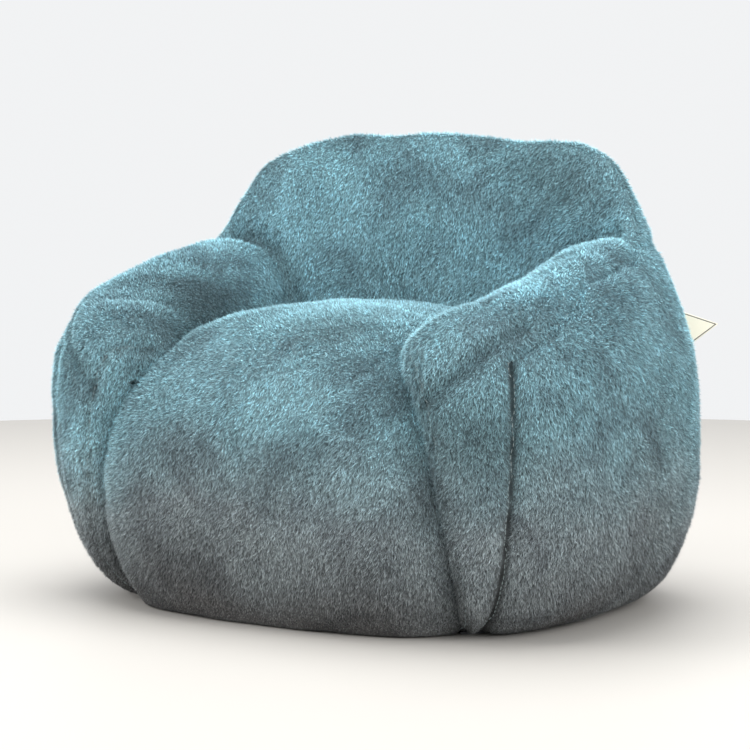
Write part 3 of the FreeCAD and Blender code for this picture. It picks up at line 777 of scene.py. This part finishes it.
def plush_tone(tree, factor):
    """The plush colour, made darker or paler by a factor."""
    colour = add(tree, "ShaderNodeGroup", {}, node_tree=COLOUR_GROUP).outputs[0]
    grey = add(tree, "ShaderNodeCombineColor", {0: factor, 1: factor, 2: factor}).outputs[0]
    return multiplied(tree, colour, grey)


print("plush colour group", len(COLOUR_GROUP.nodes), "nodes")

# %% [markdown]
# The backing is dark, because only its shadowed gaps show: it is painted at half brightness as
# painted shade. A strand runs from a dark root to a pale tip, the dark root being painted shade
# among the strands, and each clump of strands has a shade of its own.

# %% plush materials
def backing_material():
    material, tree, bsdf = new_material("plush_backing", Roughness=0.95)
    # painted shade: half brightness for the shadowed gaps, times the painted light of the panel
    tone = plush_tone(tree, times(tree, stored(tree, "brushing_and_painted_light"), 0.50))
    return finished(material, tree, bsdf, tone, round_cells(tree, 260.0), 0.5, 0.002)


def strand_material():
    """Fibres let light through, so half of what falls on one side leaves on the other."""
    material, tree, bsdf = new_material("plush_pile", Roughness=0.75, Sheen_Weight=0.25,
                                        Sheen_Roughness=0.5, Specular_IOR_Level=0.2)
    # painted shade: strands are painted darker towards the root, where they shade each other
    along = ramp(tree, stored(tree, "tip"),
                 [(place, (v, v, v)) for place, v in ((0.0, 0.34), (0.45, 0.86), (1.0, 1.34))])
    colour = plush_tone(tree, times(tree, along, stored(tree, "shade"), stored(tree, "brushing_and_painted_light")))
    finished(material, tree, bsdf, colour)
    through = add(tree, "ShaderNodeBsdfTranslucent", {"Color": colour}).outputs[0]
    both = add(tree, "ShaderNodeMixShader", {0: 0.5, 1: bsdf.outputs[0], 2: through}).outputs[0]
    tree.links.new(both, tree.nodes["Material Output"].inputs["Surface"])
    return material


BACKING, STRAND = backing_material(), strand_material()
for piece, _ in panels.values():
    piece.data.materials.append(BACKING)
print("plush materials", BACKING.name, STRAND.name)

# %% [markdown]
# ## Pile
# The pile is thousands of short tapered strands. Geometry Nodes scatter points over a panel, stand
# a strand on each, lay it along the nap and lean neighbours together into tufts. Realize Instances
# turns the result into one plain mesh that any program can read.

# %% one strand
def strand_object():
    mesh = bpy.data.meshes.new("strand")
    mesh.from_pydata([(-0.5, 0, 0), (0.5, 0, 0), (0, 0, 1)], [], [(0, 1, 2)])
    tip = mesh.attributes.new("tip", "FLOAT", "POINT")
    tip.data.foreach_set("value", [0.0, 0.0, 1.0])
    return bpy.data.objects.new("strand", mesh)


STRAND_SOURCE = strand_object()
print("strand", len(STRAND_SOURCE.data.vertices), "points")

# %% [markdown]
# A geometry tree gets its settings through named inputs, so one tree can grow a coarse undercoat
# and a fine pile. The last nodes are the same for every tree here: copies on points, made real,
# with their material.

# %% the pile tree
PILE_INPUTS = [("Density", "Float", 300000.0), ("Length", "Float", 0.009),
               ("Width", "Float", 0.0015), ("Lift", "Float", 0.6), ("Tufting", "Float", 0.85),
               ("Stray", "Float", 0.35), ("Seed", "Int", 7)]
LEAST_RISE = 0.28  # strands never lie flatter than this against the cloth
BRUSHING, TUFT_PULL = 1.3, 1.9  # how far slow and quick noise turn the strands
CLUMP_SCALE, CLUMP_LENGTH, CLUMP_SHADE = 620.0, (0.9, 0.55), (2.4, -0.20)
DARKEST, PALEST = 0.35, 1.75  # shade of a clump


def tree_with_inputs(name, inputs):
    """A geometry tree with named inputs: the tree, their outputs in it, their identifiers."""
    tree = bpy.data.node_groups.new(name, "GeometryNodeTree")
    face = tree.interface
    face.new_socket(name="Geometry", in_out="INPUT", socket_type="NodeSocketGeometry")
    sockets = {}
    for label, kind, value in inputs:
        socket = face.new_socket(name=label, in_out="INPUT", socket_type="NodeSocket" + kind)
        socket.default_value = value
        sockets[label] = socket.identifier
    face.new_socket(name="Geometry", in_out="OUTPUT", socket_type="NodeSocketGeometry")
    return tree, add(tree, "NodeGroupInput").outputs, sockets


def copies(tree, points, source, rotation, scale):
    source = add(tree, "GeometryNodeObjectInfo", {"Object": source}).outputs["Geometry"]
    given = {"Points": points, "Instance": source, "Rotation": rotation, "Scale": scale}
    return add(tree, "GeometryNodeInstanceOnPoints", given).outputs[0]


def made_real(tree, instances, material):
    real = add(tree, "GeometryNodeRealizeInstances", {"Geometry": instances}).outputs[0]
    done = add(tree, "GeometryNodeSetMaterial", {"Geometry": real, "Material": material}).outputs[0]
    tree.links.new(done, add(tree, "NodeGroupOutput").inputs[0])


def random_value(tree, least, most, seed):
    return add(tree, "FunctionNodeRandomValue", {2: least, 3: most, "Seed": seed},
               data_type="FLOAT").outputs[1]


def aligned(tree, vector, axis, rotation=(0.0, 0.0, 0.0), pivot="AUTO"):
    return add(tree, "FunctionNodeAlignRotationToVector", {"Rotation": rotation, "Vector": vector},
               axis=axis, pivot_axis=pivot).outputs[0]


def pile_tree(strand):
    tree, ins, sockets = tree_with_inputs("pile", PILE_INPUTS)

    def vector(operation, *values, scale=None):
        given = {i: v for i, v in enumerate(values)}
        if scale is not None:
            given["Scale"] = scale
        return add(tree, "ShaderNodeVectorMath", given, operation=operation).outputs[0]

    def plus(first, second, scale):
        return vector("ADD", first, vector("SCALE", second, scale=scale))

    def named(name, kind):
        return add(tree, "GeometryNodeInputNamedAttribute", {"Name": name},
                   data_type=kind).outputs["Attribute"]

    def noise(scale, detail):
        node = add(tree, "ShaderNodeTexNoise", {"Scale": scale, "Detail": detail})
        return vector("SUBTRACT", node.outputs["Color"], (0.5, 0.5, 0.5))

    scatter = add(tree, "GeometryNodeDistributePointsOnFaces",
                  {"Mesh": ins["Geometry"], "Density": ins["Density"], "Seed": ins["Seed"]})
    normal = scatter.outputs["Normal"]
    stray = add(tree, "FunctionNodeRandomValue",
                {0: (-1.0, -1.0, -1.0), 1: (1.0, 1.0, 1.0), "Seed": ins["Seed"]},
                data_type="FLOAT_VECTOR").outputs[0]
    lean = plus(named("nap", "FLOAT_VECTOR"), normal, ins["Lift"])
    brushed = plus(lean, noise(9.0, 1.0), BRUSHING)
    tufts = vector("ADD", noise(170.0, 1.0), noise(420.0, 0.0))
    tufted = plus(brushed, tufts, times(tree, ins["Tufting"], TUFT_PULL))
    loose = plus(tufted, stray, ins["Stray"])
    depth = add(tree, "ShaderNodeVectorMath", {0: loose, 1: normal},
                operation="DOT_PRODUCT").outputs["Value"]
    short = math_node(tree, "MAXIMUM", math_node(tree, "SUBTRACT", LEAST_RISE, depth), 0.0)
    upright = aligned(tree, vector("NORMALIZE", plus(loose, normal, short)), "Z")
    turned = aligned(tree, normal, "Y", rotation=upright, pivot="Z")
    clump = add(tree, "ShaderNodeTexNoise", {"Scale": CLUMP_SCALE, "Detail": 1.0}).outputs["Fac"]
    taller = math_node(tree, "ADD", CLUMP_LENGTH[1], times(tree, clump, CLUMP_LENGTH[0]))
    length = times(tree, ins["Length"], random_value(tree, 0.7, 1.15, 3), named("room", "FLOAT"),
                   taller)
    scale = add(tree, "ShaderNodeCombineXYZ", {"X": ins["Width"], "Y": 1.0, "Z": length}).outputs[0]
    grown = copies(tree, scatter.outputs["Points"], strand, turned, scale)
    clumped = math_node(tree, "ADD", times(tree, clump, CLUMP_SHADE[0]), CLUMP_SHADE[1])
    clumped = math_node(tree, "MINIMUM", math_node(tree, "MAXIMUM", clumped, DARKEST), PALEST)
    shade = times(tree, random_value(tree, 0.40, 1.64, 11), clumped)
    kept = add(tree, "GeometryNodeStoreNamedAttribute",
               {"Geometry": grown, "Name": "shade", "Value": shade},
               data_type="FLOAT", domain="INSTANCE").outputs[0]
    made_real(tree, kept, STRAND)
    return tree, sockets


PILE_TREE, PILE_SOCKETS = pile_tree(STRAND_SOURCE)
print("pile tree", len(PILE_TREE.nodes), "nodes")

# %% [markdown]
# Each panel is grown twice: a dense low undercoat that hides the cloth, and a finer, longer pile
# that gives the surface its look.

# %% grow the pile on every panel
MOST_STRANDS, QUICK_SHARE = 195000, 0.15
COATS = {"undercoat": dict(Density=220000.0, Length=0.0050, Width=0.0018,
                           Lift=0.95, Tufting=0.5, Stray=0.5),
         "pile": dict(Density=500000.0, Length=0.0070, Width=0.00092,
                      Lift=0.58, Tufting=0.85, Stray=0.38)}


def baked(piece):
    """The mesh that a piece's modifiers make."""
    evaluated = piece.evaluated_get(bpy.context.evaluated_depsgraph_get())
    return bpy.data.meshes.new_from_object(evaluated)


def grown(piece, tree, sockets, name, values):
    modifier = piece.modifiers.new(name, "NODES")
    modifier.node_group = tree
    for key, value in values.items():
        modifier[sockets[key]] = value
    mesh = baked(piece)
    mesh.name = name
    piece.modifiers.remove(modifier)
    result = bpy.data.objects.new(name, mesh)
    scene.collection.objects.link(result)
    return result


piles = {}
for seed, name in enumerate(sorted(panels)):
    made = []
    for coat, sizes in COATS.items():
        density = min(sizes["Density"], MOST_STRANDS / areas[name])
        density *= 1.0
        values = {**sizes, "Density": density, "Seed": 2 * seed + len(piles) % 2}
        key = name + "_" + coat
        piles[key] = grown(panels[name][0], PILE_TREE, PILE_SOCKETS, key, values)
        made.append(len(piles[key].data.polygons))
    print(name, round(areas[name], 3), "m2, strands", made)
print("strands in all", sum(len(p.data.polygons) for p in piles.values()))

# %% [markdown]
# ## Inside the cover
# Under the plush sit four thin bags of polystyrene beads, and plain walls that divide the cover.
# The bags are made from the CAD fillings: remeshed evenly, then drawn in so that they stay under
# the grooves of the plush.

# %% bead bags, bead fillings and inner walls
def cover_tree():
    """All panels as one surface to measure depth from."""
    verts, faces = [], []
    for piece, _ in panels.values():
        first = len(verts)
        verts += [v.co.copy() for v in piece.data.vertices]
        faces += [[first + k for k in p.vertices] for p in piece.data.polygons]
    return BVHTree.FromPolygons(verts, faces)


COVER = cover_tree()
FRONT_CORE = 118.0  # degrees from the back beyond which an arm's core doesn't move forward
RING_CORE_LEVEL, CORE_SPREAD = 0.28, 0.6
STEP_INWARD, MOST_STEPS = 0.09, 14
EVEN_VOXEL, SHRINK, BAG_FLOOR = 0.014, 0.006, 0.006
BAG_DEPTH, FILLING_DEPTH = 0.020, 0.022  # how deep each lies under the cover


def core_of(co, in_seat):
    """The middle of the stuffing beside a point: of the seat pod, or of the ring's own section."""
    if in_seat:
        return SEAT_CORE + CORE_SPREAD * Vector((co[0], co[1] - SEAT_CORE.y, 0.0))
    away = min(90.0 - math.degrees(math.atan2(co[1] - CENTRE_Y, abs(co[0]))), FRONT_CORE)
    angle = math.radians(90.0 - away)
    radius = float(outline(angle, **BULGE) + outline(angle, **INNER)) / 2
    return Vector((math.copysign(radius * math.cos(angle), co[0]),
                   CENTRE_Y + radius * math.sin(angle), RING_CORE_LEVEL))


def kept_under(co, depth, in_seat):
    """A point moved step by step towards the core until it lies this deep under the cover."""
    co, core = Vector(co), core_of(co, in_seat)
    for _ in range(MOST_STEPS):
        place, normal, _, _ = COVER.find_nearest(co)
        if (co - place).dot(normal) < -depth:
            break
        co = co.lerp(core, STEP_INWARD)
    return co


def drawn_in(node, name, depth):
    """A CAD filling, remeshed evenly, smoothed, and kept this deep under the finished cover."""
    piece = bpy.data.objects.new(name, frame["nodes"][node].data.copy())
    scene.collection.objects.link(piece)
    even = piece.modifiers.new("even", "REMESH")
    even.mode, even.voxel_size = "VOXEL", EVEN_VOXEL
    mesh = baked(piece)
    piece.modifiers.clear()
    piece.data = mesh
    coords = np.array([v.co for v in mesh.vertices])
    coords = coords - SHRINK * np.array([v.normal for v in mesh.vertices])
    edges = np.array([e.vertices[:] for e in mesh.edges])
    count = np.maximum(np.bincount(edges.ravel(), minlength=len(coords)), 1)[:, None]
    in_seat = node.startswith("seat")
    for _ in range(2):
        coords = np.array([kept_under(co, depth, in_seat) for co in coords])
        around = np.zeros_like(coords)
        np.add.at(around, edges[:, 0], coords[edges[:, 1]])
        np.add.at(around, edges[:, 1], coords[edges[:, 0]])
        coords = (coords + around / count) / 2
    coords = np.array([kept_under(co, depth, in_seat) for co in coords])
    coords[:, 2] = np.maximum(coords[:, 2], BAG_FLOOR)
    mesh.vertices.foreach_set("co", coords.ravel())
    mesh.materials.clear()
    mesh.polygons.foreach_set("use_smooth", [True] * len(mesh.polygons))
    return piece


fillings = {}
for cell in ("seat", "left_arm", "right_arm", "back"):
    for part, ending, depth in (("_lining", "_bead_bag", BAG_DEPTH),
                                ("_beads", "_bead_filling", FILLING_DEPTH)):
        fillings[cell + part] = drawn_in(cell + "_beads", cell + ending, depth)

WALL_FOOT, WALL_HEAD = 0.012, 0.285  # the levels that the inner walls run between
WALL_CORNER = 80.0  # degrees from the back at which the back wall meets a side wall
CLOTH_GAP = 0.001


def wall_object(name, lowest, highest, side=0):
    """The faces of the seat pod well inside the ring, between two angles from the back."""
    chosen = []
    for i in range(len(TURNS) - 1):
        for j in range(len(AROUND)):
            x, y, z = seat[i, j]
            turn = math.degrees(math.atan2(y - CENTRE_Y, x))
            away = abs((turn - 90.0 + 180.0) % 360.0 - 180.0)
            inside = WALL_FOOT < z < WALL_HEAD and seat_depth[i, j] >= HIDDEN
            if inside and lowest <= away < highest and x * side >= 0:
                chosen.append((i, j))
    return panel_object(name, chosen, seat - seat_out * CLOTH_GAP, False)[0]


walls = {"back_inner_wall": wall_object("back_wall_cloth", 0.0, WALL_CORNER),
         "left_inner_wall": wall_object("left_wall_cloth", WALL_CORNER, 180.0, 1),
         "right_inner_wall": wall_object("right_wall_cloth", WALL_CORNER, 180.0, -1)}
print({name: len(piece.data.polygons) for name, piece in {**fillings, **walls}.items()})


# %% [markdown]
# Plain cloth is two sets of crossing threads and a little unevenness. The beads are round cells,
# with the bump turned over so that each one bulges, and painted darker towards their edges as
# shade between them.

# %% plain cloth and bead materials
def woven_material(name, colour, scale, depth, **shader):
    material, tree, bsdf = new_material(name, **shader)
    threads = math_node(tree, "MAXIMUM", bands(tree, scale, "X"), bands(tree, scale, "Z"))
    tone = ramp(tree, noise_of(tree, scale * 0.5),
                [(0.3, tuple(c * 0.82 for c in colour)), (0.7, colour)])
    return finished(material, tree, bsdf, tone, threads, 0.4, depth)


SPUNBOND = woven_material("spunbond", (0.80, 0.80, 0.78), 300.0, 0.0003, Roughness=0.8)
INNER_CLOTH = woven_material("inner_cloth", (0.20, 0.29, 0.31), 260.0, 0.0004, Roughness=0.9)
# painted shade: each bead is painted darker towards its edge, where the beads shade each other
BEADS = patterned("polystyrene_beads", lambda tree: round_cells(tree, 220.0),
                  [(0.0, (0.86, 0.86, 0.85)), (0.8, (0.55, 0.55, 0.54))],
                  0.8, 0.002, invert=True, Roughness=0.6)
for name, piece in fillings.items():
    piece.data.materials.append(BEADS if name.endswith("beads") else SPUNBOND)
    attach(piece, "cover")
    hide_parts(name)
for name, piece in walls.items():
    piece.data.materials.append(INNER_CLOTH)
    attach(piece, "cover")
    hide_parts(name)
print("bags and fillings", len(fillings), "walls", len(walls))

# %% [markdown]
# ## Stitches
# The cover is sewn with a thick thread that shows as short pale bars at the bottom of each groove.
# A seam is a chain of edges; Geometry Nodes turn it into a curve, space points along it by length
# and put one bar on each, so the stitches follow any seam at an even pitch.

# %% stitches along the seams
STITCH_PITCH, STITCH_LENGTH, THREAD = 0.0075, 0.0048, 0.0011


def thread_bar():
    """One stitch: a six-sided bar, thinner at its ends."""
    rings = [(-0.5, 0.3), (-0.2, 0.5), (0.2, 0.5), (0.5, 0.3)]
    turns = [math.pi * k / 3 for k in range(6)]
    verts = [(r * math.cos(t), r * math.sin(t), z) for z, r in rings for t in turns]
    faces = [(6 * i + k, 6 * i + (k + 1) % 6, 6 * i + 6 + (k + 1) % 6, 6 * i + 6 + k)
             for i in range(3) for k in range(6)]
    mesh = bpy.data.meshes.new("thread_bar")
    mesh.from_pydata(verts, [], faces + [(5, 4, 3, 2, 1, 0), (18, 19, 20, 21, 22, 23)])
    return bpy.data.objects.new("thread_bar", mesh)


def stitch_tree(bar, material):
    inputs = [("Pitch", "Float", STITCH_PITCH), ("Length", "Float", STITCH_LENGTH),
              ("Thread", "Float", THREAD)]
    tree, ins, sockets = tree_with_inputs("stitches", inputs)
    curve = add(tree, "GeometryNodeMeshToCurve", {"Mesh": ins["Geometry"]}).outputs[0]
    spaced = add(tree, "GeometryNodeCurveToPoints", {"Curve": curve, "Length": ins["Pitch"]},
                 mode="LENGTH").outputs
    turned = aligned(tree, spaced["Tangent"], "Z")
    long = times(tree, ins["Length"], random_value(tree, 0.8, 1.2, 5))
    scale = add(tree, "ShaderNodeCombineXYZ", {"X": ins["Thread"], "Y": ins["Thread"], "Z": long})
    made_real(tree, copies(tree, spaced["Points"], bar, turned, scale.outputs[0]), material)
    return tree, sockets


def seam_chain():
    """Every seam line, laid on the finished cover, as one mesh of edges."""
    verts, edges = [], []
    for line in seams.values():
        first = len(verts)
        for p in line:
            place, normal, _, _ = COVER.find_nearest(Vector(p))
            verts.append(place + normal * (THREAD / 2))
        edges += [(first + k, first + k + 1) for k in range(len(line) - 1)]
    mesh = bpy.data.meshes.new("seam_chain")
    mesh.from_pydata(verts, edges, [])
    chain = bpy.data.objects.new("seam_chain", mesh)
    scene.collection.objects.link(chain)
    return chain


THREAD_CLOTH = patterned("seam_thread", lambda tree: noise_of(tree, 900.0),
                         [(0.35, (0.20, 0.26, 0.27)), (0.65, (0.42, 0.50, 0.51))], Roughness=0.7)
STITCH_TREE, STITCH_SOCKETS = stitch_tree(thread_bar(), THREAD_CLOTH)
chain = seam_chain()
stitches = grown(chain, STITCH_TREE, STITCH_SOCKETS, "seam_stitches",
                 {"Pitch": STITCH_PITCH, "Length": STITCH_LENGTH, "Thread": THREAD})
bpy.data.objects.remove(chain)
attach(stitches, "cover")
print("stitch faces", len(stitches.data.polygons))

# %% [markdown]
# ## Woven label
# A folded ribbon tab belongs to the left rear seam. It turns about the CAD hinge, and its point is
# the CAD tab's furthest corner. Its sewn edge runs parallel to the hinge line, 12 mm behind it.
# Known fault: the plush lies further in than the CAD cover here, so the sewn edge doesn't reach
# it, and it also moves sideways when the tab swings. Ribbon is never quite flat, so the tab has a
# slight curl. It is left blank but for its border.

# %% label
LABEL_THICK, LABEL_CURL, LABEL_STEPS = 0.0010, 0.0030, 28
LABEL_TAIL = 0.012  # how far behind the hinge line the ribbon begins
LABEL_END, LABEL_SAG = 0.985, 0.35  # the ribbon stops just short of a sharp point
BORDER = (0.0012, 0.0024)  # where the woven border runs, from the edge
RIM_SCALE = 1.3  # widens the border to the width that a folded edge shows


def label_corners():
    joint = next(j for j in frame["record"]["behaviour"]["joints"] if j["name"] == "label_flap")
    root, along = Vector(joint["pos_m"]), Vector(joint["axis"]).normalized()
    corners = [v.co.copy() for v in frame["nodes"]["woven_label"].data.vertices]
    top = root + along * max((p - root).dot(along) for p in corners)
    tip = max(corners, key=lambda p: ((p - root) - along * (p - root).dot(along)).length)
    return root, top, tip


def label_grid():
    """Rows of points from the sewn edge to the tip, and how far each lies from a free edge."""
    low, high, tip = label_corners()
    sewn_in = ((low + high) / 2 - tip).normalized() * LABEL_TAIL
    low, high = low + sewn_in, high + sewn_in
    across = (high - low).cross(tip - low).normalized()
    tip = tip - across * (tip - low).dot(across)
    width, height = (high - low).length, (tip - low).length
    verts, rim = [], []
    for i in range(LABEL_STEPS + 1):
        out = LABEL_END * i / LABEL_STEPS
        curl = LABEL_CURL * (out ** 2 - LABEL_SAG * math.sin(math.pi * out))
        for j in range(LABEL_STEPS + 1):
            verts.append(low.lerp(high, j / LABEL_STEPS).lerp(tip, out) + across * curl)
            beside = min(j, LABEL_STEPS - j) / LABEL_STEPS * width * (1.0 - out)
            rim.append(beside * height / (width / 2 + height) * RIM_SCALE)
    row = LABEL_STEPS + 1
    faces = [(i * row + j, (i + 1) * row + j, (i + 1) * row + j + 1, i * row + j + 1)
             for i in range(LABEL_STEPS) for j in range(LABEL_STEPS)]
    return verts, faces, rim


def label_piece():
    verts, faces, rim = label_grid()
    piece = mesh_object("blank_woven_label", verts, faces)
    store(piece.data, "rim", "FLOAT", rim)
    thick = piece.modifiers.new("thickness", "SOLIDIFY")
    thick.thickness, thick.offset = LABEL_THICK, 0.0
    return piece


def label_material():
    material, tree, bsdf = new_material("label_ribbon", Roughness=0.6, Sheen_Weight=0.2)
    weave, rim = bands(tree, 420.0, "Z"), stored(tree, "rim")
    border = times(tree, math_node(tree, "LESS_THAN", rim, BORDER[1]),
                   math_node(tree, "GREATER_THAN", rim, BORDER[0]))
    cream = ramp(tree, weave, [(0.2, (0.70, 0.66, 0.52)), (0.8, (0.86, 0.83, 0.70))])
    tone = add(tree, "ShaderNodeMix", {"Factor": border, 6: cream, 7: (0.03, 0.03, 0.035, 1.0)},
               data_type="RGBA").outputs[2]
    return finished(material, tree, bsdf, tone, weave, 0.3, 0.0003)


label = label_piece()
label.data.materials.append(label_material())
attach(label, "label")
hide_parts("woven_label")
print("label points", len(label.data.vertices))

# %% [markdown]
# ## Base and zip
# Turned over, the chair shows a coated cloth base, split by a zip that lets the bead bags out.
# These CAD parts already have the right shape, so each only gets a finish of its own.

# %% finishes of the base and the zip
def enamel_material():
    material, tree, bsdf = new_material("black_enamel", Roughness=0.28, Coat_Weight=0.4)
    wear = noise_of(tree, 700.0, Detail=3.0)
    tone = ramp(tree, wear, [(0.4, (0.020, 0.020, 0.022)), (0.75, (0.075, 0.075, 0.078))])
    rough = add(tree, "ShaderNodeMapRange", {0: wear, 3: 0.22, 4: 0.45}).outputs[0]
    tree.links.new(rough, bsdf.inputs["Roughness"])
    return finished(material, tree, bsdf, tone)


COATED = woven_material("coated_base_cloth", (0.040, 0.044, 0.050), 180.0, 0.0003, Roughness=0.55)
TAPE = woven_material("zip_tape_cloth", (0.030, 0.030, 0.034), 420.0, 0.0002, Roughness=0.8)
ENAMEL = enamel_material()
COIL = patterned("nylon_coil", lambda tree: bands(tree, 110.0, "X"),
                 [(0.3, (0.012, 0.012, 0.014)), (0.7, (0.060, 0.060, 0.065))],
                 0.8, 0.0006, Roughness=0.4)
for node, material in (("front_base_panel", COATED), ("rear_base_panel", COATED),
                       ("slider_pocket", COATED), ("front_zip_tape", TAPE), ("rear_zip_tape", TAPE),
                       ("front_zip_coil", COIL), ("rear_zip_coil", COIL),
                       ("zip_end_stops", ENAMEL), ("zip_slider", ENAMEL)):
    for slot in frame["nodes"][node].material_slots:
        slot.material = material
    print(node, material.name, len(frame["nodes"][node].material_slots))

# %% [markdown]
# ## Everything rides on a body
# The cloth and pile of a panel stand for the plain CAD panel, so that one is hidden. The cover is
# one body: it never moves, and only the label and the zip slider do.

# %% bind the panels
for name, (piece, _) in panels.items():
    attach(piece, "cover")
    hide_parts(name)
for piece in piles.values():
    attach(piece, "cover")
print("bound", len(panels), "panels and", len(piles), "coats of pile")

# %% [markdown]
# ## Floor, light and camera
# A plain pale floor and large soft lights show the pile without hard shadows.

# %% stage
FLOOR_RADIUS, FLOOR_SIDES = 3.0, 96


def round_floor():
    turns = [2 * math.pi * k / FLOOR_SIDES for k in range(FLOOR_SIDES)]
    rim = [(FLOOR_RADIUS * math.cos(t), FLOOR_RADIUS * math.sin(t), 0.0) for t in turns]
    floor = mesh_object("floor", rim, [tuple(range(FLOOR_SIDES))])
    material, _, bsdf = new_material("floor_paint", Roughness=0.55)
    bsdf.inputs["Base Color"].default_value = (0.50, 0.48, 0.45, 1)
    floor.data.materials.append(material)


def area_light(name, place, target, size, energy):
    light = bpy.data.lights.new(name, "AREA")
    light.shape, light.size, light.energy = "SQUARE", size, energy
    lamp = bpy.data.objects.new(name, light)
    scene.collection.objects.link(lamp)
    lamp.location = place
    lamp.rotation_euler = (Vector(target) - Vector(place)).to_track_quat("-Z", "Y").to_euler()


round_floor()
area_light("ceiling_light", (-0.2, 0.1, 3.0), (0, 0, 0.2), 2.6, 105)
area_light("window_light", (-2.4, -2.2, 1.9), (0, 0, 0.3), 1.8, 58)
area_light("side_light", (2.9, -0.5, 1.5), (0, 0, 0.3), 2.0, 56)
world = bpy.data.worlds.new("studio")
scene.world = world
world.use_nodes = True
background = world.node_tree.nodes["Background"]
background.inputs["Color"].default_value = (0.93, 0.94, 0.95, 1)
background.inputs["Strength"].default_value = 0.95
scene.view_settings.view_transform = "Standard"

camera = bpy.data.objects.new("camera", bpy.data.cameras.new("camera"))
scene.collection.objects.link(camera)
camera.location = (1.451, -2.265, 0.457)
camera.rotation_euler = (math.radians(90.0 - 3.44), 0.0, math.radians(33.0))
camera.data.sensor_width, camera.data.lens = 36.0, 95.86
scene.camera = camera
